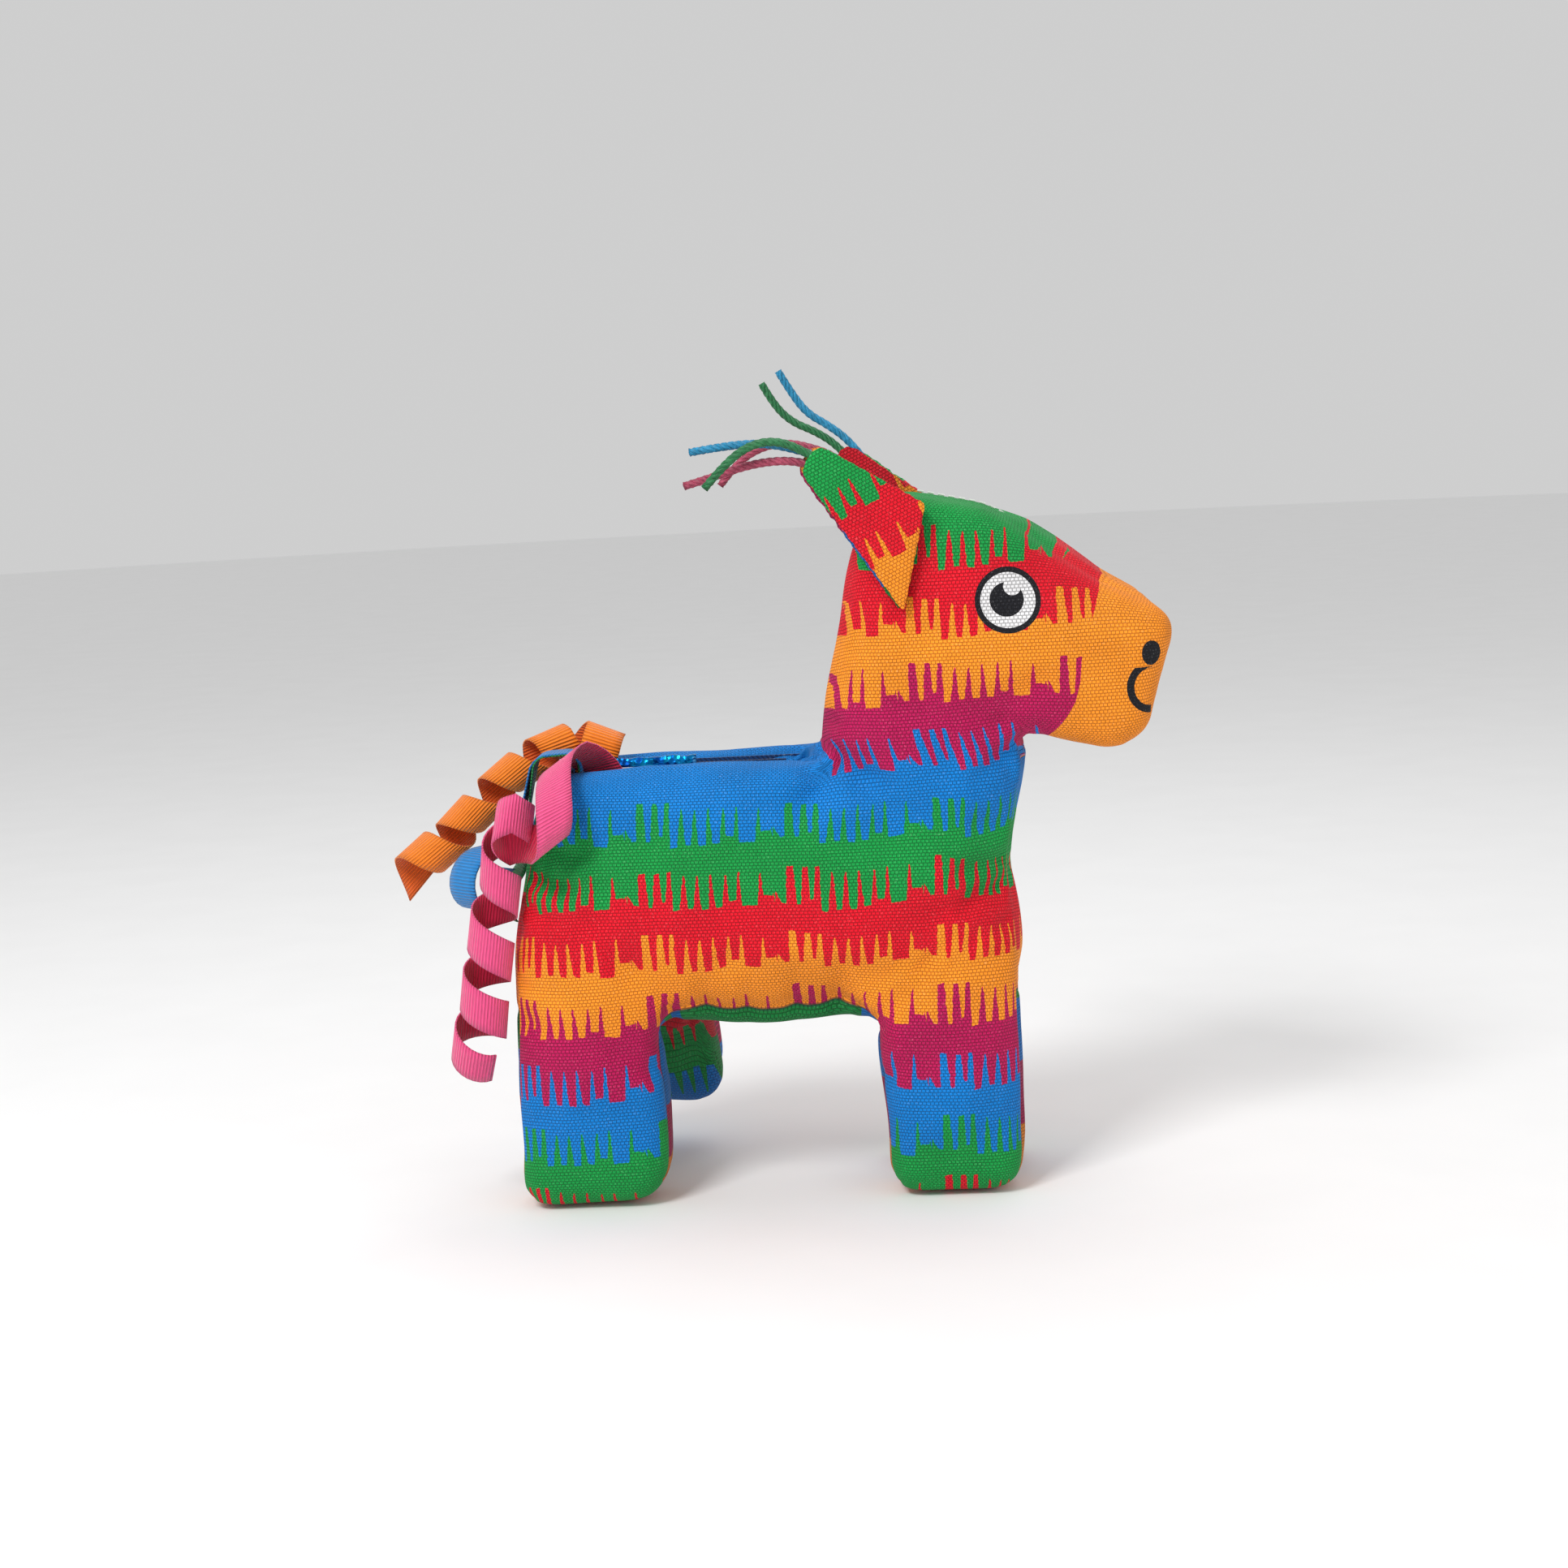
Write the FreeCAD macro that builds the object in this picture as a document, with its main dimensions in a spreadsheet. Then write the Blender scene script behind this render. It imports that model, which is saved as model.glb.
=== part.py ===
import FreeCAD, Part
import math
import os
import Sketcher

# A stuffed, printed-canvas pinata donkey.  X runs from rump to muzzle, Y from the right side to the
# left side, Z up from the soles.  The body is sewn from two side panels and an under-body gusset, its
# back is an open pocket, and a foil pouch with four curled ribbon tails sits in that pocket.

os.makedirs("parts", exist_ok=True)
doc = FreeCAD.newDocument("pinata_donkey")

# Driving dimensions: millimetres and degrees.
SIZES = [
    ("rear_reach", 70.5, "heel of the hind feet behind the origin"),
    ("trunk_length", 128.5, "hind heels to front toes"),
    ("back_height", 109.0, "soles to the back"),
    ("belly_height", 49.5, "soles to the belly seam"),
    ("neck_rise", 66.0, "back to the crown of the head"),
    ("body_width", 46.0, "side to side"),
    ("centre_offset", -5.7, "mid-plane of the sewing from the middle of the footprint"),
    ("skin", 0.8, "printed canvas with its backing"),
    ("rim", 6.0, "rounding where a side panel turns in to its seam"),
    ("hind_foot", 37.5, "length of a hind foot"),
    ("front_foot", 33.0, "length of a front foot"),
    ("leg_gap", 8.0, "space between a right and a left leg"),
    ("splay", 40.0, "how far the left hind leg leans outwards"),
    ("splay_forward", 10.0, "how far forward that leg is set"),
    ("splay_leg", 45.0, "length of that leg from the belly seam"),
    ("leg_thickness", 19.0, "side to side"),
    ("slot_rear", 18.0, "rear end of the back slot from the heels"),
    ("slot_length", 61.0, "length of the back slot"),
    ("pocket_width", 18.0, "inside the stuffing, side to side"),
    ("pocket_depth", 46.0, "mouth to the bottom of the pocket"),
    ("lining", 0.5, "pocket lining cloth"),
    ("tape_width", 9.0, "hook and loop tape"),
    ("tape_length", 38.0, "hook and loop tape"),
    ("tape_thickness", 1.0, "hook and loop tape"),
    ("film", 0.3, "foil film of the pouch"),
    ("pouch_length", 28.0, "foil pouch"),
    ("pouch_height", 44.0, "foil pouch"),
    ("pouch_half", 1.8, "half the thickness of the filled pouch"),
    ("ear_root", 27.2, "length of an ear's seam"),
    ("ear_reach", 31.8, "seam to the ear's tip"),
    ("ear_tip_rise", 18.9, "how far the tip is offset towards the crown"),
    ("ear_tip_width", 8.0, "across the rounded tip"),
    ("ear_tip_radius", 3.8, "rounding of the tip"),
    ("ear_padding", 3.0, "filling of an ear"),
    ("ear_flare", 15.0, "how far an ear stands off the head"),
    ("ear_clearance", 0.4, "between an ear and the head"),
    ("ear_seam_tilt", 13.8, "lean of the ear's seam from upright"),
    ("left_ear_lift", 5.0, "extra upright set of the left ear"),
    ("left_ear_ahead", 4.0, "how far in front of the right ear it is sewn"),
    ("left_ear_drop", 2.8, "how far below the right ear it is sewn"),
    ("cord", 2.1, "waxed cord"),
    ("ribbon_width", 10.0, "grosgrain ribbon"),
    ("ribbon_thickness", 0.4, "grosgrain ribbon"),
    ("stitch", 0.5, "seam thread"),
]
sheet = doc.addObject("Spreadsheet::Sheet", "sizes")
for row, (alias, value, note) in enumerate(SIZES, start=1):
    sheet.set(f"A{row}", alias)
    sheet.set(f"B{row}", str(value))
    sheet.set(f"C{row}", note)
    sheet.setAlias(f"B{row}", alias)
doc.recompute()


def size(alias):
    return float(sheet.get(alias))


NOTHING = 0.01
MARGIN = 20.0
INNER_SEAM = 4.5
STITCH_STEP = 2.6
FOREHEAD_RISE = 40.0
FOREHEAD_REACH = 20.0
FOREHEAD_FRONT = 25.0
rear = -size("rear_reach")
chest = rear + size("trunk_length")
back = size("back_height")
belly = size("belly_height")
crown = back + size("neck_rise")
half_width = size("body_width") / 2
skin = size("skin")
to_frame = FreeCAD.Vector(0, size("centre_offset"), 0)
nodes = []


def vec(x, y, z):
    return FreeCAD.Vector(x, y, z)


def keep(item, label):
    """Give a finished sub-part its name and list it for the checks and the export."""
    item.Label = label
    nodes.append(item)
    return item


def solid_feature(shape, label):
    """A sub-part whose skin is doubly curved: a Part::Feature placed on the mid-plane."""
    item = doc.addObject("Part::Feature", label)
    item.Shape = shape
    item.Placement = FreeCAD.Placement(to_frame, FreeCAD.Rotation())
    return keep(item, label)


# --- the sewn body ---------------------------------------------------------------------------------

def rounded_wire(corners):
    """Close a polygon of (x, z, radius) corners with straight runs and tangent arcs."""
    points = [vec(x, 0, z) for x, z, _ in corners]
    starts, mids, ends = [], [], []
    for i, (_, _, radius) in enumerate(corners):
        to_last = (points[i - 1] - points[i]).normalize()
        to_next = (points[(i + 1) % len(points)] - points[i]).normalize()
        half_angle = to_last.getAngle(to_next) / 2
        inward = (to_last + to_next).normalize()
        starts.append(points[i] + to_last * (radius / math.tan(half_angle)))
        ends.append(points[i] + to_next * (radius / math.tan(half_angle)))
        mids.append(points[i] + inward * (radius / math.sin(half_angle) - radius))
    edges = []
    for i in range(len(points)):
        edges.append(Part.LineSegment(ends[i - 1], starts[i]).toShape())
        edges.append(Part.Arc(starts[i], mids[i], ends[i]).toShape())
    return Part.Wire(edges)


def slab(corners, thickness, rim, inset):
    """Extrude an outline evenly to both sides and round its two rims."""
    half = thickness / 2 - inset
    face = Part.Face(rounded_wire(corners))
    if inset:
        face = face.makeOffset2D(-inset)
    face.translate(vec(0, -half, 0))
    body = face.extrude(vec(0, 2 * half, 0))
    rims = [e for e in body.Edges if all(abs(abs(v.Y) - half) < NOTHING for v in e.Vertexes)
            and abs(e.BoundBox.YLength) < NOTHING]
    return body.makeFillet(rim - inset, rims)


def donkey_corners():
    """Side outline, each corner measured from the heels, chest, belly, back or crown it belongs to."""
    hind_toe = rear + size("hind_foot")
    front_heel = chest - size("front_foot") - 1.0
    return [
        (rear + 13.5, back, 10.0),
        (rear + 7.5, back - 25.0, 25.0),
        (rear + 3.0, belly + 8.5, 40.0),
        (rear, 0.0, 8.0),
        (hind_toe, 0.0, 9.5),
        (hind_toe + 1.5, belly, 9.0),
        (front_heel - 1.2, belly, 11.0),
        (front_heel, 0.0, 7.5),
        (chest - 1.0, 0.0, 7.5),
        (chest, belly + 12.5, 50.0),
        (chest - 2.0, back - 27.0, 18.0),
        (chest + 3.0, back - 3.0, 20.0),
        (chest + 3.0, back + 6.5, 3.0),
        (chest + 26.0, back + 0.8, 9.0),
        (chest + 34.5, back + 5.0, 8.0),
        (chest + 41.2, back + 33.0, 7.0),
        (chest + 24.0, crown - 24.5, 20.0),
        (chest - 3.0, crown - 5.5, 18.0),
        (chest - 31.0, crown + 1.0, 12.0),
        (chest - 38.0, crown - 23.0, 30.0),
        (chest - 46.5, back + 1.5, 4.0),
    ]


def splayed_leg(inset):
    """The left hind leg, which leans outwards on the soft hip."""
    foot = size("hind_foot") - 2.0
    corners = [
        (0.0, -size("splay_leg"), 8.0),
        (foot, -size("splay_leg"), 9.0),
        (foot, 12.0, 6.0),
        (0.0, 12.0, 6.0),
    ]
    return slab(corners, size("leg_thickness"), 5.0, inset)


def lean(shape):
    """Put a shape made at the hip's own origin where the splayed leg grows from the trunk."""
    shape.rotate(vec(0, 0, 0), vec(1, 0, 0), size("splay"))
    shape.translate(vec(rear + 3.0 + size("splay_forward"), 0.57 * half_width, belly + 0.5))
    return shape


def donkey_form(inset):
    """The whole sewn body, or the filling that is left inside a skin of the given thickness."""
    form = slab(donkey_corners(), size("body_width"), size("rim"), inset)
    half_gap = size("leg_gap") / 2 + inset
    length = size("trunk_length") + 2 * MARGIN
    crotch = belly + inset
    between = Part.makeBox(length, 2 * half_gap, crotch + MARGIN, vec(rear - MARGIN, -half_gap, -MARGIN))
    straight_leg = Part.makeBox(
        size("hind_foot") + 10.0 + MARGIN, half_width + MARGIN, crotch + MARGIN,
        vec(rear - MARGIN, half_gap - NOTHING, -MARGIN))
    form = form.cut(between.fuse(straight_leg))
    return form.fuse(lean(splayed_leg(inset))).removeSplitter()


def gusset_region():
    """Where the under-body panel lies: belly, inner legs and soles, out to the rims' seams."""
    reach = half_width - size("rim")
    length = size("trunk_length") + 2 * MARGIN
    under = Part.makeBox(length, 2 * reach, belly + skin + MARGIN, vec(rear - MARGIN, -reach, -MARGIN))
    leg_half = size("leg_thickness") / 2
    inner_leg = Part.makeBox(
        size("hind_foot") + MARGIN, leg_half + INNER_SEAM, size("splay_leg") + MARGIN,
        vec(-MARGIN / 2, -leg_half - INNER_SEAM, -size("splay_leg") - MARGIN))
    return under.fuse(lean(inner_leg))


slot_start = rear + size("slot_rear")
slot_end = slot_start + size("slot_length")
pocket_half = size("pocket_width") / 2
pocket_floor = back - size("pocket_depth")
outer_form = donkey_form(0.0)
inner_form = donkey_form(skin)
pocket_hole = Part.makeBox(size("slot_length"), size("pocket_width"), size("pocket_depth") + MARGIN,
                           vec(slot_start, -pocket_half, pocket_floor))
canvas = outer_form.cut(inner_form).cut(pocket_hole)
gusset_space = gusset_region()
side_canvas = canvas.cut(gusset_space)
room = 4 * size("trunk_length")
right_space = Part.makeBox(room, room, room, vec(-room / 2, -room, -room / 2))
left_space = Part.makeBox(room, room, room, vec(-room / 2, 0, -room / 2))
solid_feature(side_canvas.common(right_space).Solids[0], "right_side_panel")
solid_feature(side_canvas.common(left_space).Solids[0], "left_side_panel")
solid_feature(canvas.common(gusset_space).Solids[0], "under_body_gusset")
solid_feature(inner_form.cut(pocket_hole).Solids[0], "body_stuffing")


def seam_thread():
    """Short stitches that show along the seam over the forehead."""
    run = rounded_wire(donkey_corners()).discretize(Distance=STITCH_STEP)
    stitches = []
    for here, ahead in zip(run, run[1:]):
        on_forehead = here.z > back + FOREHEAD_RISE and here.x > chest - FOREHEAD_REACH
        along = ahead - here
        if on_forehead and along.x < 0 and here.x < chest + FOREHEAD_FRONT:
            start = here + along * 0.2
            stitches.append(Part.makeCylinder(size("stitch") / 2, along.Length * 0.6, start, along))
    return Part.makeCompound(stitches)


solid_feature(seam_thread(), "head_seam_thread")


# --- the back pocket -------------------------------------------------------------------------------

def box(name, length, width, height, x, y, z):
    """A Part::Box whose sizes and place are expressions of the sheet."""
    item = doc.addObject("Part::Box", name)
    for prop, expression in (("Length", length), ("Width", width), ("Height", height)):
        item.setExpression(prop, expression)
    for axis, expression in (("x", x), ("y", y), ("z", z)):
        item.setExpression(f".Placement.Base.{axis}", expression)
    return item


SLOT_X = "-sizes.rear_reach + sizes.slot_rear"
POCKET_Z = "sizes.back_height - sizes.pocket_depth"
bag_outside = box("bag_outside", "sizes.slot_length", "sizes.pocket_width", "sizes.pocket_depth - 0.6",
                  SLOT_X, "sizes.centre_offset - sizes.pocket_width / 2", POCKET_Z)
bag_inside = box("bag_inside", "sizes.slot_length - 2 * sizes.lining",
                 "sizes.pocket_width - 2 * sizes.lining", "sizes.pocket_depth",
                 SLOT_X + " + sizes.lining",
                 "sizes.centre_offset - sizes.pocket_width / 2 + sizes.lining", POCKET_Z + " + sizes.lining")
pocket_lining = doc.addObject("Part::Cut", "pocket_lining")
pocket_lining.Base = bag_outside
pocket_lining.Tool = bag_inside
keep(pocket_lining, "pocket_lining")

TAPE_X = SLOT_X + " + (sizes.slot_length - sizes.tape_length) * 0.7"
TAPE_Z = "sizes.back_height - 1.5 - sizes.tape_width"
keep(box("hook_tape", "sizes.tape_length", "sizes.tape_thickness", "sizes.tape_width", TAPE_X,
         "sizes.centre_offset - sizes.pocket_width / 2 + sizes.lining", TAPE_Z), "hook_tape")
keep(box("loop_tape", "sizes.tape_length", "sizes.tape_thickness", "sizes.tape_width", TAPE_X,
         "sizes.centre_offset + sizes.pocket_width / 2 - sizes.lining - sizes.tape_thickness", TAPE_Z),
     "loop_tape")


# --- sketches for the pouch and the ears -----------------------------------------------------------

def sketch_on(body, name, role, corners):
    """A closed polygon on one of the body's own planes; each corner is a pair of expressions."""
    sketch = body.newObject("Sketcher::SketchObject", name)
    plane = next(f for f in body.Origin.OriginFeatures if f.Role == role)
    sketch.AttachmentSupport = [(plane, "")]
    sketch.MapMode = "FlatFace"
    count = len(corners)
    for i in range(count):
        # Any convex start shape will do: the bound distances below pull the corners into place.
        turn, ahead = 2 * math.pi * i / count, 2 * math.pi * (i + 1) / count
        sketch.addGeometry(Part.LineSegment(vec(20 + 9 * math.cos(turn), 20 + 9 * math.sin(turn), 0),
                                            vec(20 + 9 * math.cos(ahead), 20 + 9 * math.sin(ahead), 0)))
    for i in range(count):
        sketch.addConstraint(Sketcher.Constraint("Coincident", i, 2, (i + 1) % count, 1))
    for i, corner in enumerate(corners):
        for kind, expression in zip(("DistanceX", "DistanceY"), corner):
            if expression == "0":
                line = -2 if kind == "DistanceX" else -1
                sketch.addConstraint(Sketcher.Constraint("PointOnObject", i, 1, line))
            else:
                index = sketch.addConstraint(Sketcher.Constraint(kind, -1, 1, i, 1, 20.0))
                sketch.setExpression(f"Constraints[{index}]", expression)
    return sketch


def rectangle(inset):
    """Corners of the pouch's outline, drawn in by an expression."""
    low, across, high = inset, f"sizes.pouch_length - ({inset})", f"sizes.pouch_height - ({inset})"
    return [(low, low), (across, low), (across, high), (low, high)]


POUCH_X = SLOT_X + " + 4"
POUCH_Z = "sizes.back_height + 1.5 - sizes.pouch_height"
WELD = "2"


def pouch_film(label, reverse):
    """One pressed foil film: a shallow tray with a flat weld all round."""
    body = doc.addObject("PartDesign::Body", label)
    outline = sketch_on(body, label + "_outline", "XZ_Plane", rectangle("0"))
    pad = body.newObject("PartDesign::Pad", label + "_pad")
    pad.Profile = outline
    pad.setExpression("Length", "sizes.pouch_half")
    pad.Reversed = reverse
    doc.recompute()
    full = body.Shape.Volume
    recess = sketch_on(body, label + "_recess", "XZ_Plane", rectangle(WELD))
    hollow = body.newObject("PartDesign::Pocket", label + "_hollow")
    hollow.Profile = recess
    hollow.setExpression("Length", "sizes.pouch_half - sizes.film")
    hollow.Reversed = not reverse
    body.setExpression(".Placement.Base.x", POUCH_X)
    body.setExpression(".Placement.Base.y", "sizes.centre_offset")
    body.setExpression(".Placement.Base.z", POUCH_Z)
    doc.recompute()
    if body.Shape.Volume > 0.6 * full:
        raise ValueError(label + " was not hollowed")
    return keep(body, label)


pouch_film("right_pouch_film", False)
pouch_film("left_pouch_film", True)
keep(box("crinkle_filling", f"sizes.pouch_length - 2 * {WELD} - 0.6",
         "2 * (sizes.pouch_half - sizes.film) - 0.2", f"sizes.pouch_height - 2 * {WELD} - 0.6",
         POUCH_X + f" + {WELD} + 0.3", "sizes.centre_offset - sizes.pouch_half + sizes.film + 0.1",
         POUCH_Z + f" + {WELD} + 0.3"), "crinkle_filling")


# --- ears ------------------------------------------------------------------------------------------

def ear_frame(side):
    """Place and axes of an ear: side is -1 on the right and 1 on the left."""
    tilt = math.radians(size("ear_seam_tilt"))
    flare = math.radians(size("ear_flare"))
    lift = math.radians(size("left_ear_lift") if side > 0 else 0.0)
    seam = vec(math.sin(tilt + lift), 0, math.cos(tilt + lift))
    flat = vec(-math.cos(tilt + lift), 0, math.sin(tilt + lift))
    reach = flat * math.cos(flare) + vec(0, side, 0) * math.sin(flare)
    stand = half_width + size("ear_clearance") + skin + size("ear_padding") / 2
    middle = vec(chest - 22.0, side * stand, crown - 16.7)
    if side > 0:
        middle += vec(size("left_ear_ahead"), 0, -size("left_ear_drop"))
    return middle, seam, reach


def ear_layer(label, side, low, high, inset):
    """One layer of an ear: a petal padded between two heights over the ear's own mid-plane."""
    body = doc.addObject("PartDesign::Body", label)
    low_corner = f"sizes.ear_root / 2 + sizes.ear_tip_rise - sizes.ear_tip_width / 2 + {inset}"
    high_corner = f"sizes.ear_root / 2 + sizes.ear_tip_rise + sizes.ear_tip_width / 2 - {inset}"
    petal = sketch_on(body, label + "_petal", "XY_Plane", [
        ("0", f"{inset} * 1.6"),
        (f"sizes.ear_reach - {inset}", low_corner),
        (f"sizes.ear_reach - 2.3 - {inset}", high_corner),
        ("0", f"sizes.ear_root - {inset} * 1.2"),
    ])
    petal.AttachmentOffset = FreeCAD.Placement(vec(0, 0, low), FreeCAD.Rotation())
    pad = body.newObject("PartDesign::Pad", label + "_pad")
    pad.Profile = petal
    pad.Length = high - low
    doc.recompute()
    tip = [f"Edge{i}" for i, e in enumerate(pad.Shape.Edges, start=1)
           if e.BoundBox.ZLength > NOTHING and e.CenterOfMass.x > size("ear_reach") / 2]
    rounding = body.newObject("PartDesign::Fillet", label + "_tip")
    rounding.Base = (pad, tip)
    rounding.setExpression("Radius", f"sizes.ear_tip_radius - {inset} / 2")
    middle, seam, reach = ear_frame(side)
    corner = middle - seam * (size("ear_root") / 2)
    turn = FreeCAD.Rotation(reach, seam, reach.cross(seam), "XYZ")
    body.Placement = FreeCAD.Placement(corner + to_frame, turn)
    return keep(body, label)


padding_half = size("ear_padding") / 2
for side, name in ((-1, "right"), (1, "left")):
    # reach x seam points at the head on the right ear and away from it on the left ear.
    front = (-padding_half - skin, -padding_half) if side < 0 else (padding_half, padding_half + skin)
    rear_face = (padding_half, padding_half + skin) if side < 0 else (-padding_half - skin, -padding_half)
    ear_layer(f"{name}_ear_front", side, *front, 0.0)
    ear_layer(f"{name}_ear_padding", side, -padding_half, padding_half, 0.9)
    ear_layer(f"{name}_ear_back", side, *rear_face, 0.0)


# --- cords at the ear tips --------------------------------------------------------------------------

# Each route starts inside its ear; points are (x, y, z) from the mid-plane.
CORD_ROUTES = {
    "right_blue_cord": [(15.0, -31.8, 183.4), (10.0, -32.2, 185.4), (2.5, -32.0, 187.2),
                        (-6.5, -31.0, 187.1), (-15.4, -29.5, 185.9)],
    "right_green_cord": [(15.2, -34.0, 182.6), (11.0, -34.6, 185.4), (5.2, -35.2, 187.7),
                         (-0.8, -35.6, 187.0), (-6.8, -35.4, 183.0), (-12.0, -35.0, 177.4)],
    "right_pink_cord": [(15.4, -32.8, 180.9), (10.5, -33.0, 182.6), (4.0, -32.6, 183.0),
                        (-3.0, -31.8, 182.0), (-10.0, -31.0, 179.9), (-17.1, -30.0, 178.1)],
    "left_blue_cord": [(24.0, 32.0, 182.0), (21.0, 31.8, 186.2), (15.8, 31.5, 190.4),
                       (10.6, 31.0, 193.6), (6.8, 30.5, 198.9), (3.6, 30.0, 204.8)],
    "left_green_cord": [(21.0, 32.4, 181.2), (17.8, 32.8, 185.2), (12.5, 33.0, 188.9),
                        (6.5, 33.0, 191.6), (2.0, 32.5, 196.2), (-0.9, 32.0, 201.9)],
    "left_pink_cord": [(21.0, 34.4, 178.6), (17.4, 34.8, 182.2), (11.5, 35.0, 184.8), (4.5, 35.2, 186.6),
                       (-2.6, 35.2, 185.4), (-8.8, 35.0, 181.6), (-13.2, 34.8, 176.2)],
}


def cord_path(corners):
    """Straight runs joined by tangent arcs: nine tenths of the shorter half run goes into each arc."""
    radii = []
    edges = []
    last = corners[0]
    for before, here, after in zip(corners, corners[1:], corners[2:]):
        to_last = (before - here).normalize()
        to_next = (after - here).normalize()
        half_turn = (math.pi - to_last.getAngle(to_next)) / 2
        shorter = min(before.distanceToPoint(here), here.distanceToPoint(after))
        trim = 0.45 * shorter
        radius = trim / math.tan(half_turn)
        inward = (to_last + to_next).normalize()
        start, end = here + to_last * trim, here + to_next * trim
        middle = here + inward * (radius / math.cos(half_turn) - radius)
        edges.append(Part.LineSegment(last, start).toShape())
        edges.append(Part.Arc(start, middle, end).toShape())
        radii.append(radius)
        last = end
    edges.append(Part.LineSegment(last, corners[-1]).toShape())
    return Part.Wire(edges), radii


def cord_solid(label, route):
    """A round cord swept along its route, checked against section times length."""
    corners = [vec(*point) for point in route]
    path, radii = cord_path(corners)
    section = Part.Wire([Part.makeCircle(size("cord") / 2, corners[0], corners[1] - corners[0])])
    shape = path.makePipeShell([section], True, False)
    expected = math.pi * (size("cord") / 2) ** 2 * path.Length
    if abs(shape.Volume / expected - 1) > 0.03:
        raise ValueError(f"{label} has volume {shape.Volume:.1f}, expected {expected:.1f}")
    print(label, "length", round(path.Length, 1), "bend radii", [round(r, 1) for r in radii])
    return shape


for name, route in CORD_ROUTES.items():
    solid_feature(cord_solid(name, route), name)


# --- curled ribbons ---------------------------------------------------------------------------------

RIBBON_STEP = 15.0
FLAT_STEP = 5.0
# Each ribbon: where it starts, its heading there (its outside faces -Y at 0), and its moves:
# (run, roll about its own width, drift across, and turns about Y, X and Z).
RIBBONS = {
    "orange_ribbon": ((-46.8, 2.0, 106.0), 0, [
        (7.3, 0, -1.5, 18.9, -3.7, 0.0), (8.0, 90, 0.4, 3.7, -8.1, 0.0),
        (13.7, 180, 8.4, -30.3, -11.4, 0.0), (7.5, 90, 1.7, -12.5, -11.7, 0.0),
        (6.8, 90, 3.9, 3.0, -18.1, 0.0), (16.8, 180, 6.3, -17.8, 0.8, 0.0), (7.5, 90, 3.5, -0.7, -0.2, 0.0),
        (31.4, 360, 15.3, -8.2, 3.1, 0.0), (32.0, 360, 14.0, 9.5, -3.1, 0.0),
        (17.3, 160, 8.6, -12.4, -2.7, 0.0),
    ]),
    "pink_ribbon": ((-42.0, -2.0, 102.9), 180, [
        (3.8, 0, -1.2, -4.3, 24.9, 0.0), (13.8, 60, -5.3, -31.4, -14.4, 0.0),
        (19.6, 120, -11.2, 1.4, -52.7, 0.0), (13.2, 90, -6.4, -1.6, 48.4, 0.0),
        (13.2, 90, -4.3, -56.3, 16.6, 0.0), (5.3, 90, 5.8, 11.3, -27.0, 0.0),
        (5.9, 90, 3.1, 1.8, 27.3, 0.0), (27.7, 270, -15.7, -2.7, 6.0, 0.0),
        (15.2, 180, -7.4, 1.0, -14.8, 0.0), (35.5, 360, -16.7, 0.6, 7.0, 0.0),
        (36.9, 360, -15.3, -1.7, 1.2, 0.0), (33.8, 300, -9.1, 7.1, 27.9, 0.0),
    ]),
    "blue_ribbon": ((-48.7, -3.3, 100.0), 90, [
        (9.5, 0, 0.0, 0.0, 0.0, 0.0), (6.0, 90, 2.0, 0.0, 0.0, 0.0), (4.0, 0, 1.5, 0.0, 0.0, 0.0),
        (6.0, 75, 0.5, 0.0, 0.0, 0.0), (14.5, 0, 0.0, 0.0, 0.0, 0.0), (8.0, -65, 0.0, 0.0, 0.0, 25.0),
        (4.0, 0, -1.0, 0.0, 0.0, 20.0), (27.0, 200, -3.0, 0.0, 0.0, 5.0), (10.0, 40, -3.0, 0.0, 0.0, 0.0),
    ]),
    "green_ribbon": ((-49.1, -3.3, 102.0), 90, [
        (8.2, 0, 0.0, 0.0, 0.0, 0.0), (4.6, 90, 2.0, 0.0, 0.0, 0.0), (4.6, 0, 1.5, 0.0, 0.0, 0.0),
        (4.6, 75, 0.5, 0.0, 0.0, 0.0), (20.0, 10, -4.0, 0.0, 0.0, 10.0), (12.0, -40, -3.0, 0.0, 0.0, 20.0),
        (10.0, 85, 0.0, 0.0, 0.0, 0.0),
    ]),
}


def curl(start, heading, moves):
    """Frames (centre, across, outward) of a ribbon that runs ahead, rolls, drifts across and turns."""
    turn = FreeCAD.Rotation(vec(0, 0, 1), heading)
    place, across, outward = vec(*start), turn.multVec(vec(-1, 0, 0)), turn.multVec(vec(0, -1, 0))
    frames = [(place, across, outward)]
    for run, roll, drift, *turns in moves:
        count = max(2, math.ceil(max(abs(roll) / RIBBON_STEP, run / FLAT_STEP)))
        step = math.radians(roll) / count
        chord = run / count * (math.sin(step / 2) / (step / 2) if step else 1)
        axes = (vec(0, 1, 0), vec(1, 0, 0), vec(0, 0, 1))
        for _ in range(count):
            half_roll = FreeCAD.Rotation(across, roll / count / 2)
            ahead = half_roll.multVec(across.cross(outward))
            place = place + ahead * chord + across * (drift / count)
            outward = half_roll.multVec(half_roll.multVec(outward))
            for axis, angle in zip(axes, turns):
                part_turn = FreeCAD.Rotation(axis, angle / count)
                across, outward = part_turn.multVec(across), part_turn.multVec(outward)
            frames.append((place, across, outward))
    return frames


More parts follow.
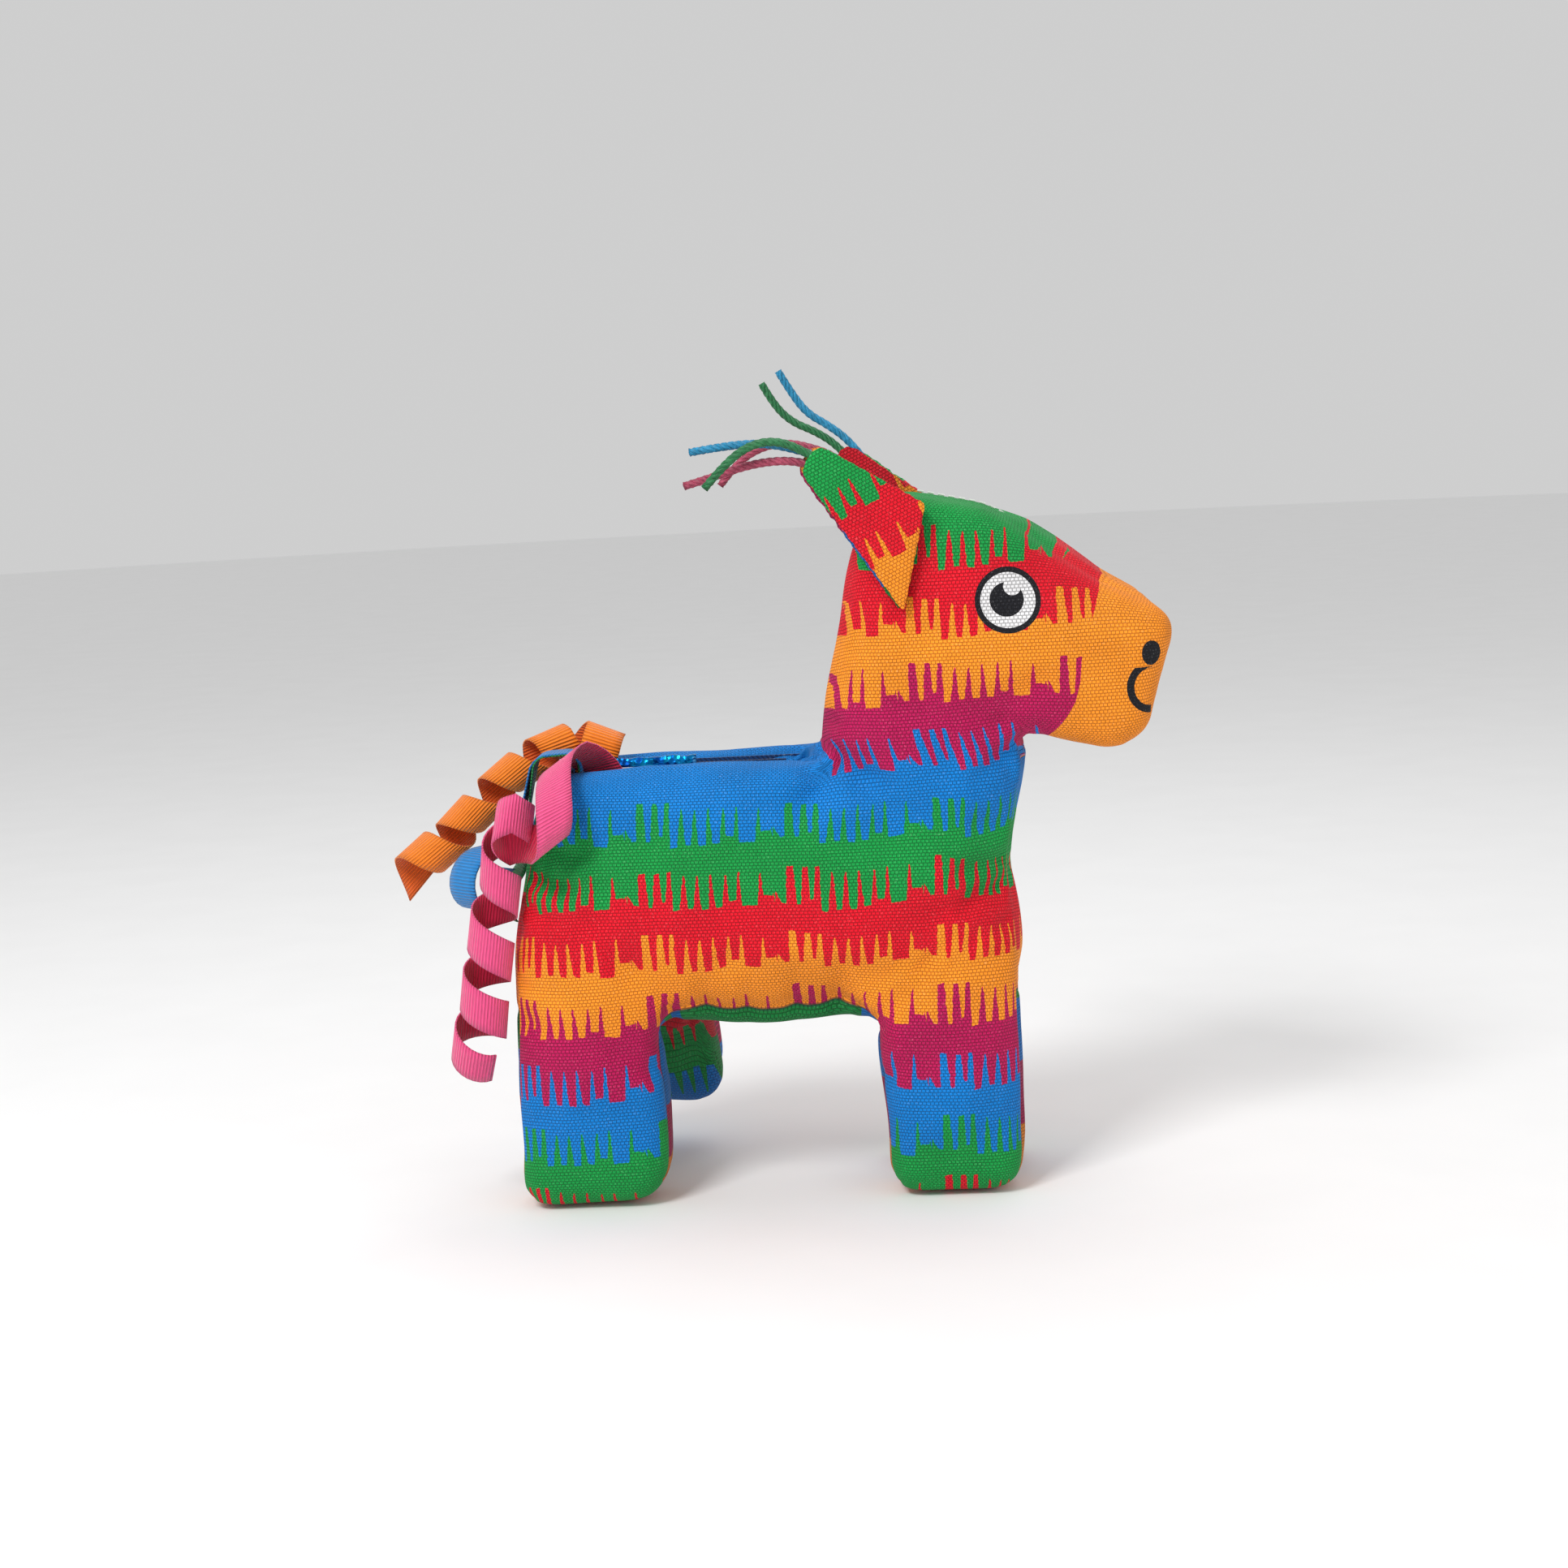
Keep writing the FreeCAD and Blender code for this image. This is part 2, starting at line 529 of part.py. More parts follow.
def ribbon_solid(label, frames):
    """A flat band: ruled patches from each rectangular section to the next, closed by two cut ends."""
    half_w, half_t = size("ribbon_width") / 2, size("ribbon_thickness") / 2
    corners = [(half_w, half_t), (-half_w, half_t), (-half_w, -half_t), (half_w, -half_t)]
    sections = [[place + across * w + outward * t for w, t in corners] for place, across, outward in frames]
    faces = []
    for here, ahead in zip(sections, sections[1:]):
        for i in range(len(corners)):
            near_edge = Part.LineSegment(here[i - 1], here[i]).toShape()
            far_edge = Part.LineSegment(ahead[i - 1], ahead[i]).toShape()
            faces.append(Part.makeRuledSurface(near_edge, far_edge))
    for loop in (sections[0], sections[-1]):
        faces.append(Part.Face(Part.makePolygon(loop + loop[:1])))
    shell = Part.makeShell(faces)
    shell.sewShape()
    shape = Part.Solid(shell)
    if shape.Volume < 0:
        shape.reverse()
    length = sum(a[0].distanceToPoint(b[0]) for a, b in zip(frames, frames[1:]))
    print(label, "length", round(length, 1), "volume share",
          round(shape.Volume / (length * 4 * half_w * half_t), 3))
    return shape


for name, (start, heading, moves) in RIBBONS.items():
    solid_feature(ribbon_solid(name, curl(start, heading, moves)), name)


# --- export ----------------------------------------------------------------------------------------

doc.recompute()
for item in doc.Objects:
    if "Invalid" in item.State or "Error" in item.State:
        raise ValueError(f"{item.Label} failed: {item.State}")
for item in nodes:
    if item.Shape.isNull() or not item.Shape.isValid():
        raise ValueError(f"{item.Label} has no valid shape")
    print(item.Label, len(item.Shape.Solids), round(item.Shape.Volume, 1))
    item.Shape.exportStep(f"parts/{item.Label}.step")
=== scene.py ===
import math

import bmesh
import bpy
from mathutils import Matrix, Vector, noise
from mathutils.bvhtree import BVHTree


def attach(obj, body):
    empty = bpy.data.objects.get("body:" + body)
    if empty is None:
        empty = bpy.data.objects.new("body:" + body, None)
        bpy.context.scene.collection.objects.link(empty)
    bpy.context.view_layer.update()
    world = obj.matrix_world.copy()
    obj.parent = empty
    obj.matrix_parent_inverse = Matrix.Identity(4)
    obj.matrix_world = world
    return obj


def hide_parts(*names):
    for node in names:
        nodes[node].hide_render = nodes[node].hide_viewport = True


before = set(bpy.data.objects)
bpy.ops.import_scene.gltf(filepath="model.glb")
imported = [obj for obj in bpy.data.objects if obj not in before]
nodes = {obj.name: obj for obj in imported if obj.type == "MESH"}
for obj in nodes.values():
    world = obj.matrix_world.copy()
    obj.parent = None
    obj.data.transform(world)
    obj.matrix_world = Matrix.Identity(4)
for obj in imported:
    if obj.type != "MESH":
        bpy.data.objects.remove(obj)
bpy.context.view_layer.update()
mm = 0.001
midPlane = -5.7 * mm        # the donkey's own middle, in the frame's Y


def place(x, y, z):
    # Donkey millimetres to metres in the frame
    return Vector((x * mm, y * mm + midPlane, z * mm))


def addNode(tree, kind, inputs=None, **settings):
    made = tree.nodes.new(kind)
    for name, value in settings.items():
        setattr(made, name, value)
    for name, value in (inputs or {}).items():
        if isinstance(value, bpy.types.NodeSocket):
            tree.links.new(value, made.inputs[name])
        else:
            made.inputs[name].default_value = value
    return made


def sums(tree, operation, *values, clamp=False):
    return addNode(tree, "ShaderNodeMath", dict(enumerate(values)), operation=operation, use_clamp=clamp).outputs[0]


def blendColours(tree, factor, first, second, how="MIX"):
    made = addNode(tree, "ShaderNodeMix", {0: factor, 6: first, 7: second}, data_type="RGBA", blend_type=how)
    return made.outputs[2]


def grain(tree, vector, scale, detail=2.0, roughness=0.5):
    return addNode(tree, "ShaderNodeTexNoise", {"Vector": vector, "Scale": scale, "Detail": detail,
                                                "Roughness": roughness}).outputs[0]


def span(tree, value, low, high, newLow=0.0, newHigh=1.0):
    return addNode(tree, "ShaderNodeMapRange", {"Value": value, "From Min": low, "From Max": high,
                                                "To Min": newLow, "To Max": newHigh}).outputs[0]


def greyOf(tree, shade):
    return addNode(tree, "ShaderNodeCombineColor", {0: shade, 1: shade, 2: shade}).outputs[0]


def newMaterial(name, roughness=0.8, metallic=0.0, sheen=0.0, specular=0.3):
    material = bpy.data.materials.new(name)
    material.use_nodes = True
    tree = material.node_tree
    shader = tree.nodes["Principled BSDF"]
    shader.inputs["Roughness"].default_value = roughness
    shader.inputs["Metallic"].default_value = metallic
    shader.inputs["Sheen Weight"].default_value = sheen
    shader.inputs["Specular IOR Level"].default_value = specular
    return material, tree, shader


def linear(red, green, blue):
    # An sRGB colour, 0 to 255, as the linear colour that a socket takes
    parts = (c / 255 / 12.92 if c < 10.3 else ((c / 255 + 0.055) / 1.055) ** 2.4 for c in (red, green, blue))
    return (*parts, 1.0)


def bumped(tree, shader, height, strength, distance):
    bump = addNode(tree, "ShaderNodeBump", {"Height": height, "Strength": strength, "Distance": distance})
    tree.links.new(bump.outputs[0], shader.inputs["Normal"])


def corneredCurve(tree, value, spots):
    # A float curve that runs straight from each spot to the next
    made = addNode(tree, "ShaderNodeFloatCurve", {"Value": value})
    made.mapping.clip_min_y, made.mapping.clip_max_y = -1.0, 2.0
    curve = made.mapping.curves[0]
    curve.points[0].location, curve.points[1].location = spots[0], spots[-1]
    for spot in spots[1:-1]:
        curve.points.new(*spot)
    for point in curve.points:
        point.handle_type = "VECTOR"
    made.mapping.update()
    return made.outputs[0]


# printed canvas
canvas = {
    "green": linear(14, 150, 66), "blue": linear(0, 122, 204), "magenta": linear(184, 14, 84),
    "orange": linear(250, 146, 34), "red": linear(222, 10, 36),
    "bandHeight": 16.1, "firstBand": 12.0, "period": 36.1, "firstTooth": -33.5,
    "toothLead": 1.0, "toothRange": (-2.0, 12.0), "restLevel": 0.7,
    "threadPitch": 1.0, "rowPitch": 0.82, "weaveDepth": 0.3,
    # along one repeat: where a stroke of the lower colour stands, how high and how wide it is at its top
    "strokes": ((0, 9.6, 1.7), (3.7, 9.2, 1.3), (6.7, 9.1, 1.0), (10.3, 7.7, 0.4), (13.5, 7.4, 0.4),
                (16.7, 7.7, 0.4), (20.5, 7.7, 0.4), (23.6, 8.2, 0.4), (28.9, 8.0, 0.4), (32.1, 3.7, 0.4)),
    # between them, from where to where a stroke of the upper colour ends, and at what height
    "gaps": ((1.5, 2.5, 0.5), (4.8, 5.6, 1.6), (7.4, 9.0, -1.0), (11.1, 12.4, -0.7), (14.3, 16.1, -0.9),
             (17.8, 19.4, -0.5), (21.0, 22.8, 1.1), (24.2, 28.0, -0.3), (29.4, 31.8, 2.4), (32.3, 34.0, 0.7)),
}


def toothCurve(tree, along):
    # Height of the ragged edge of a print band, from the place along it in millimetres
    period, lead, (lowest, reach) = canvas["period"], canvas["toothLead"], canvas["toothRange"]
    fromFirst = sums(tree, "SUBTRACT", along, canvas["firstTooth"] - lead)
    share = sums(tree, "FRACT", sums(tree, "DIVIDE", fromFirst, period))
    corners = []
    for middle, high, wide in canvas["strokes"]:
        corners += [(middle + lead - wide / 2, high), (middle + lead + wide / 2, high)]
    for start, end, level in canvas["gaps"]:
        corners += [(start + lead, level), (end + lead, level)]
    corners = [(0.0, canvas["restLevel"])] + sorted(corners) + [(period, canvas["restLevel"])]
    curve = corneredCurve(tree, share, [(x / period, (high - lowest) / reach) for x, high in corners])
    return sums(tree, "MULTIPLY_ADD", curve, reach, lowest)


def bandColour(tree, along, up):
    # Five colours in turn, from the foot up, with ragged edges between them
    step = sums(tree, "SUBTRACT", up, toothCurve(tree, along))
    whole = canvas["bandHeight"] * 5
    fromFirst = sums(tree, "SUBTRACT", step, canvas["firstBand"] - whole)
    turn = sums(tree, "FRACT", sums(tree, "DIVIDE", fromFirst, whole))
    ramp = addNode(tree, "ShaderNodeValToRGB", {"Fac": turn})
    ramp.color_ramp.interpolation = "CONSTANT"
    order = ("blue", "magenta", "orange", "red", "green")
    ramp.color_ramp.elements[0].color = canvas[order[0]]
    ramp.color_ramp.elements[1].position = 0.2
    ramp.color_ramp.elements[1].color = canvas[order[1]]
    for i in (2, 3, 4):
        ramp.color_ramp.elements.new(i * 0.2).color = canvas[order[i]]
    return ramp.outputs[0]


def inDisc(tree, x, z, centreX, centreZ, radiusX, radiusZ):
    across = sums(tree, "POWER", sums(tree, "DIVIDE", sums(tree, "SUBTRACT", x, centreX), radiusX), 2.0)
    up = sums(tree, "POWER", sums(tree, "DIVIDE", sums(tree, "SUBTRACT", z, centreZ), radiusZ), 2.0)
    return sums(tree, "LESS_THAN", sums(tree, "ADD", across, up), 1.0)


face = {
    "eye": (58.8, 148.1), "rim": 7.9, "white": 6.6, "pupil": 4.1, "pupilShift": (-0.3, 0.2), "glint": (1.2, 3.3, 2.2),
    "nostril": (92.6, 133.6, 2.3, 3.0), "mouth": (93.0, 125.4, 5.6, 0.95), "mouthTop": 4.8,
    # the edge of the muzzle's colour: heights with how far ahead it stands, then the ranges that hold them
    "muzzleFrom": 108.0, "muzzleHeights": (110.0, 50.0), "muzzleAhead": (60.0, 30.0),
    "muzzle": ((110.0, 65.0), (114.6, 68.1), (116.5, 69.8), (119.1, 71.9), (123.0, 74.0), (127.6, 75.2),
               (132.9, 75.6), (140.0, 77.8), (144.5, 79.4), (150.3, 81.2), (160.0, 84.0)),
}


def drawFace(tree, x, z, colour):
    (lowest, tall), (nearest, reach) = face["muzzleHeights"], face["muzzleAhead"]
    spots = [((high - lowest) / tall, (ahead - nearest) / reach) for high, ahead in face["muzzle"]]
    muzzle = corneredCurve(tree, span(tree, z, lowest, lowest + tall), spots)
    edge = sums(tree, "MULTIPLY_ADD", muzzle, reach, nearest)
    above = sums(tree, "GREATER_THAN", z, face["muzzleFrom"])
    onNose = sums(tree, "MULTIPLY", sums(tree, "GREATER_THAN", x, edge), above)
    colour = blendColours(tree, onNose, colour, canvas["orange"])
    black, white = linear(24, 24, 30), linear(224, 223, 224)
    eyeX, eyeZ = face["eye"]
    pupilX, pupilZ = face["pupilShift"]
    glintX, glintZ, glintR = face["glint"]
    for middleX, middleZ, wide, high, ink in (
            (eyeX, eyeZ, face["rim"], face["rim"], black), (eyeX, eyeZ, face["white"], face["white"], white),
            (eyeX + pupilX, eyeZ + pupilZ, face["pupil"], face["pupil"], black),
            (eyeX + glintX, eyeZ + glintZ, glintR, glintR, white),
            face["nostril"] + (black,)):
        colour = blendColours(tree, inDisc(tree, x, z, middleX, middleZ, wide, high), colour, ink)
    mouthX, mouthZ, mouthR, stroke = face["mouth"]
    far = sums(tree, "SQRT", sums(tree, "ADD", sums(tree, "POWER", sums(tree, "SUBTRACT", x, mouthX), 2.0),
                                  sums(tree, "POWER", sums(tree, "SUBTRACT", z, mouthZ), 2.0)))
    smile = sums(tree, "LESS_THAN", sums(tree, "ABSOLUTE", sums(tree, "SUBTRACT", far, mouthR)), stroke)
    smile = sums(tree, "MULTIPLY", smile, sums(tree, "LESS_THAN", x, mouthX))
    smile = sums(tree, "MULTIPLY", smile, sums(tree, "LESS_THAN", z, mouthZ + face["mouthTop"]))
    return blendColours(tree, smile, colour, black)


def canvasMaterial(name, withFace=False):
    # Woven canvas with the band print: attribute cut places it on the outer pieces, turned on the inner ones
    material, tree, shader = newMaterial(name, 0.72, sheen=0.04, specular=0.22)
    cut = addNode(tree, "ShaderNodeAttribute", attribute_name="cut").outputs["Vector"]
    turned = addNode(tree, "ShaderNodeAttribute", attribute_name="turned").outputs["Vector"]
    panel = addNode(tree, "ShaderNodeAttribute", attribute_name="panel").outputs["Fac"]
    solid = addNode(tree, "ShaderNodeTexCoord").outputs["Object"]
    cutParts = addNode(tree, "ShaderNodeSeparateXYZ", {0: cut})
    turnedParts = addNode(tree, "ShaderNodeSeparateXYZ", {0: turned})
    wobble = sums(tree, "MULTIPLY_ADD", grain(tree, cut, 0.9, 1.0), 0.6, -0.3)
    sway = sums(tree, "MULTIPLY_ADD", grain(tree, cut, 0.045, 1.0), 5.0, -2.5)
    x = sums(tree, "ADD", cutParts.outputs[0], wobble)
    if withFace:
        x = sums(tree, "ADD", x, addNode(tree, "ShaderNodeAttribute", attribute_name="shift").outputs["Fac"])
    z = sums(tree, "ADD", sums(tree, "ADD", cutParts.outputs[2], wobble), sway)
    colour = bandColour(tree, x, z)
    if withFace:
        colour = drawFace(tree, cutParts.outputs[0], cutParts.outputs[2], colour)
    # painted shade: the inner pieces, the gusset and the ear backs, take the turned print darkened to 0.62
    underPrintInPaintedShade = blendColours(tree, 1.0, bandColour(tree, turnedParts.outputs[0], turnedParts.outputs[2]),
                         (0.62, 0.62, 0.66, 1), "MULTIPLY")
    onUnder = sums(tree, "GREATER_THAN", panel, 0.0)
    colour = blendColours(tree, onUnder, colour, underPrintInPaintedShade)
    # threads: rows of small humps, each row set a little along from the last, with painted highlight on the humps and
    # painted shade in the gaps between them
    threads = addNode(tree, "ShaderNodeAttribute", attribute_name="weave").outputs["Vector"]
    weave = addNode(tree, "ShaderNodeTexBrick", {
        "Vector": threads, "Scale": 1.0, "Mortar Size": 0.17, "Mortar Smooth": 1.0, "Bias": 0.0,
        "Brick Width": canvas["threadPitch"], "Row Height": canvas["rowPitch"],
        "Color1": (1, 1, 1, 1), "Color2": (0.72, 0.72, 0.72, 1)}, offset=0.4, offset_frequency=2)
    gap = weave.outputs["Fac"]
    lint = grain(tree, solid, 2600.0, 2.0)
    patches = grain(tree, solid, 90.0, 3.0)
    # painted highlight and painted shade: thread tops lifted to 1.14, gaps darkened to 0.55, times random tone from
    # lint and patches
    shade = sums(tree, "MULTIPLY", span(tree, gap, 0.0, 1.0, 1.14, 0.55), span(tree, lint, 0.3, 0.7, 0.88, 1.12))
    shade = sums(tree, "MULTIPLY", shade, span(tree, patches, 0.3, 0.7, 0.9, 1.08))
    colour = blendColours(tree, 1.0, colour, greyOf(tree, shade), "MULTIPLY")
    # painted highlight: thread tops lightened towards pale grey where the lint noise is high
    paintedThreadHighlight = sums(tree, "MULTIPLY", span(tree, lint, 0.58, 0.74), sums(tree, "SUBTRACT", 1.0, gap))
    colour = blendColours(tree, sums(tree, "MULTIPLY", paintedThreadHighlight, 0.1, clamp=True), colour, (0.9, 0.9, 0.9, 1))
    seamLine = sums(tree, "LESS_THAN", sums(tree, "ABSOLUTE", panel), 0.28)
    colour = blendColours(tree, sums(tree, "MULTIPLY", seamLine, 0.55), colour, (0.02, 0.03, 0.04, 1))
    tree.links.new(colour, shader.inputs["Base Color"])
    tree.links.new(span(tree, lint, 0.3, 0.7, 0.62, 0.85), shader.inputs["Roughness"])
    height = sums(tree, "SUBTRACT", sums(tree, "MULTIPLY", lint, 0.35), sums(tree, "MULTIPLY", gap, 0.9))
    bumped(tree, shader, height, 0.7, canvas["weaveDepth"] * mm)
    return material


# soft shells from the CAD solids
def softShell(name, solids, shell):
    # One closed skin round several touching solids, evened out
    joined = bmesh.new()
    for solid in solids:
        joined.from_mesh(nodes[solid].data)
    bmesh.ops.remove_doubles(joined, verts=joined.verts, dist=1e-6)
    mesh = bpy.data.meshes.new(name)
    joined.to_mesh(mesh)
    joined.free()
    piece = bpy.data.objects.new(name, mesh)
    bpy.context.scene.collection.objects.link(piece)
    remesh = piece.modifiers.new("remesh", "REMESH")
    remesh.mode = "VOXEL"
    remesh.voxel_size = shell["voxel"]
    applyModifiers(piece)
    skin = bmesh.new()
    skin.from_mesh(piece.data)
    keepLargest(skin)
    for _ in range(shell["smooth"]):
        bmesh.ops.smooth_vert(skin, verts=skin.verts, factor=0.5, use_axis_x=True, use_axis_y=True, use_axis_z=True)
    skin.to_mesh(piece.data)
    skin.free()
    for facet in piece.data.polygons:
        facet.use_smooth = True
    return piece


def applyModifiers(piece):
    depsgraph = bpy.context.evaluated_depsgraph_get()
    final = bpy.data.meshes.new_from_object(piece.evaluated_get(depsgraph))
    piece.modifiers.clear()
    piece.data = final
    final.name = piece.name


def keepLargest(skin):
    # Drops the small closed bubbles that a remesh can leave inside
    left = set(skin.verts)
    largest = set()
    while left:
        start = left.pop()
        island, edge = {start}, [start]
        while edge:
            vert = edge.pop()
            for link in vert.link_edges:
                other = link.other_vert(vert)
                if other in left:
                    left.remove(other)
                    island.add(other)
                    edge.append(other)
        if len(island) > len(largest):
            largest = island
    bmesh.ops.delete(skin, geom=[v for v in skin.verts if v not in largest], context="VERTS")


fabric = {"quality": 4, "mass": 0.2, "clearance": 0.6 * mm, "roomFree": 1.0}


def puff(piece, cloth, room=None):
    # Fills the skin with a light pressure, and keeps each point near its place and clear of what lies beside it
    before = [v.co.copy() for v in piece.data.vertices]
    bpy.context.view_layer.objects.active = piece
    settings = piece.modifiers.new("cloth", "CLOTH").settings
    settings.use_pressure = True
    settings.uniform_pressure_force = cloth["pressure"]
    settings.effector_weights.gravity = 0
    settings.quality = fabric["quality"]
    settings.mass = fabric["mass"]
    settings.tension_stiffness = settings.compression_stiffness = cloth["stiffness"]
    for step in range(1, cloth["frames"] + 1):
        bpy.context.scene.frame_set(step)
    applyModifiers(piece)
    for vert, old in zip(piece.data.vertices, before):
        near = fabric["roomFree"] if room is None else max(0.0, room(old) - fabric["clearance"])
        for axis, most in enumerate(cloth["cap"]):
            limit = min(most, near)
            vert.co[axis] = old[axis] + max(-limit, min(limit, vert.co[axis] - old[axis]))
    bpy.context.scene.frame_set(1)


def writeAttribute(piece, name, kind, values):
    attribute = piece.data.attributes.new(name, kind, "POINT")
    for item, value in zip(attribute.data, values):
        if kind == "FLOAT_VECTOR":
            item.vector = value
        else:
            item.value = value


def nearnessTo(solids):
    # Tells how far a point is from the surface of some CAD solids
    joined = bmesh.new()
    for solid in solids:
        joined.from_mesh(nodes[solid].data)
    tree = BVHTree.FromBMesh(joined)
    joined.free()
    return lambda spot: tree.find_nearest(spot)[3]


def subdivided(piece, levels=1):
    modifier = piece.modifiers.new("smooth", "SUBSURF")
    modifier.levels = modifier.render_levels = levels


# camera, light, floor
view = {"turn": 3.0, "rise": 8.0, "roll": 3.0, "distance": 650.0, "target": (1.18, 0.0, 102.03), "lens": 59.5}


def buildCamera():
    turn, rise, roll = (math.radians(view[k]) for k in ("turn", "rise", "roll"))
    back = Vector((math.sin(turn) * math.cos(rise), -math.cos(turn) * math.cos(rise), math.sin(rise)))
    right = Vector((math.cos(turn), math.sin(turn), 0))
    up = back.cross(right)
    across = math.cos(roll) * right - math.sin(roll) * up
    above = math.sin(roll) * right + math.cos(roll) * up
    camera = bpy.data.objects.new("camera", bpy.data.cameras.new("camera"))
    camera.data.lens, camera.data.sensor_width = view["lens"], 36.0
    camera.data.clip_start = 0.01
    eye = place(*view["target"]) + back * view["distance"] * mm
    camera.matrix_world = Matrix.Translation(eye) @ Matrix((across, above, back)).transposed().to_4x4()
    bpy.context.scene.collection.objects.link(camera)
    bpy.context.scene.camera = camera


# each light's power in watts, its size and its place in metres
studio = {"world": 0.62, "key": (5.6, 0.3, (-0.35, -0.6, 0.8)), "fill": (0.5, 0.5, (0.7, -0.6, 0.35)),
          "top": (1.2, 0.5, (0.1, 0.3, 0.8)), "aim": (0, 0, 0.1), "floorRadius": 4.0}


def buildStudio():
    scene = bpy.context.scene
    scene.view_settings.view_transform = "Standard"
    world = bpy.data.worlds.new("studio")
    world.use_nodes = True
    background = world.node_tree.nodes["Background"]
    background.inputs["Color"].default_value = (1, 1, 1, 1)
    background.inputs["Strength"].default_value = studio["world"]
    scene.world = world
    for name in ("key", "fill", "top"):
        power, size, spot = studio[name]
        light = bpy.data.objects.new(name + "Light", bpy.data.lights.new(name + "Light", "AREA"))
        light.data.energy, light.data.size = power, size
        towards = (Vector(spot) - Vector(studio["aim"])).to_track_quat("Z", "Y")
        light.matrix_world = Matrix.Translation(spot) @ towards.to_matrix().to_4x4()
        scene.collection.objects.link(light)
    floor = bmesh.new()
    bmesh.ops.create_circle(floor, cap_ends=True, segments=96, radius=studio["floorRadius"])
    piece = finishMesh("floor", floor)
    material, tree, shader = newMaterial("paleFloor", 0.9)
    tone = grain(tree, addNode(tree, "ShaderNodeTexCoord").outputs["Object"], 30.0)
    pale = blendColours(tree, tone, (0.90, 0.90, 0.90, 1), (0.94, 0.94, 0.94, 1))
    tree.links.new(pale, shader.inputs["Base Color"])
    piece.data.materials.append(material)


def finishMesh(name, shape, smooth=False):
    mesh = bpy.data.meshes.new(name)
    shape.to_mesh(mesh)
    shape.free()
    piece = bpy.data.objects.new(name, mesh)
    bpy.context.scene.collection.objects.link(piece)
    if smooth:
        for facet in mesh.polygons:
            facet.use_smooth = True
    return piece


buildCamera()
buildStudio()
print("camera and light are set")

# cords
cordDiameter = 2.1
cords = {
    "right_blue_cord": ((15.0, -31.8, 183.4), (10.0, -32.2, 185.4), (2.5, -32.0, 187.2), (-6.5, -31.0, 187.1),
                        (-15.4, -29.5, 185.9)),
    "right_green_cord": ((15.2, -34.0, 182.6), (11.0, -34.6, 185.4), (5.2, -35.2, 187.7), (-0.8, -35.6, 187.0),
                         (-6.8, -35.4, 183.0), (-12.0, -35.0, 177.4)),
    "right_pink_cord": ((15.4, -32.8, 180.9), (10.5, -33.0, 182.6), (4.0, -32.6, 183.0), (-3.0, -31.8, 182.0),
                        (-10.0, -31.0, 179.9), (-17.1, -30.0, 178.1)),
    "left_blue_cord": ((24.0, 32.0, 182.0), (21.0, 31.8, 186.2), (15.8, 31.5, 190.4), (10.6, 31.0, 193.6),
                       (6.8, 30.5, 198.9), (3.6, 30.0, 204.8)),
    "left_green_cord": ((21.0, 32.4, 181.2), (17.8, 32.8, 185.2), (12.5, 33.0, 188.9), (6.5, 33.0, 191.6),
                        (2.0, 32.5, 196.2), (-0.9, 32.0, 201.9)),
    "left_pink_cord": ((21.0, 34.4, 178.6), (17.4, 34.8, 182.2), (11.5, 35.0, 184.8), (4.5, 35.2, 186.6),
                       (-2.6, 35.2, 185.4), (-8.8, 35.0, 181.6), (-13.2, 34.8, 176.2)),
}
cordInk = {"blue": linear(6, 140, 186), "green": linear(18, 118, 62), "pink": linear(176, 62, 92)}
cordBraid = {"strands": 4, "share": 0.56, "turn": 7.0, "sides": 10}


def cordMaterial(name, ink):
    # Waxed cotton: fine fibres along each twisted strand, a dull shine
    material, tree, shader = newMaterial(name, 0.5, sheen=0.1, specular=0.5)
    fibre = addNode(tree, "ShaderNodeUVMap", uv_map="strand").outputs[0]
    stretch = addNode(tree, "ShaderNodeMapping", {"Vector": fibre, "Scale": (9.0, 900.0, 1.0)}).outputs[0]
    lines = grain(tree, stretch, 1.0, 2.0)
    patches = grain(tree, addNode(tree, "ShaderNodeTexCoord").outputs["Object"], 700.0, 2.0)
    dark = tuple(c * 0.5 for c in ink[:3]) + (1,)
    pale = tuple(min(1, c * 1.35 + 0.05) for c in ink[:3]) + (1,)
    colour = blendColours(tree, span(tree, lines, 0.35, 0.65), dark, ink)
    colour = blendColours(tree, span(tree, patches, 0.5, 0.75, 0.0, 0.6), colour, pale)
    tree.links.new(colour, shader.inputs["Base Color"])
    tree.links.new(span(tree, patches, 0.3, 0.7, 0.4, 0.65), shader.inputs["Roughness"])
    bumped(tree, shader, lines, 0.6, 0.0001)
    return material


def cordCentre(name, route):
    # The smooth line of a cord, read from a NURBS spline through its route
    line = bpy.data.curves.new(name + "Line", "CURVE")
    line.dimensions = "3D"
    spline = line.splines.new("NURBS")
    spline.points.add(len(route) - 1)
    for point, spot in zip(spline.points, route):
        point.co = (*place(*spot), 1)
    spline.order_u = 3
    spline.use_endpoint_u = True
    line.resolution_u = 12
    holder = bpy.data.objects.new(name + "Line", line)
    bpy.context.scene.collection.objects.link(holder)
    bpy.context.view_layer.update()
    mesh = bpy.data.meshes.new_from_object(holder)
    spots = [v.co.copy() for v in mesh.vertices]
    bpy.data.objects.remove(holder)
    return spots


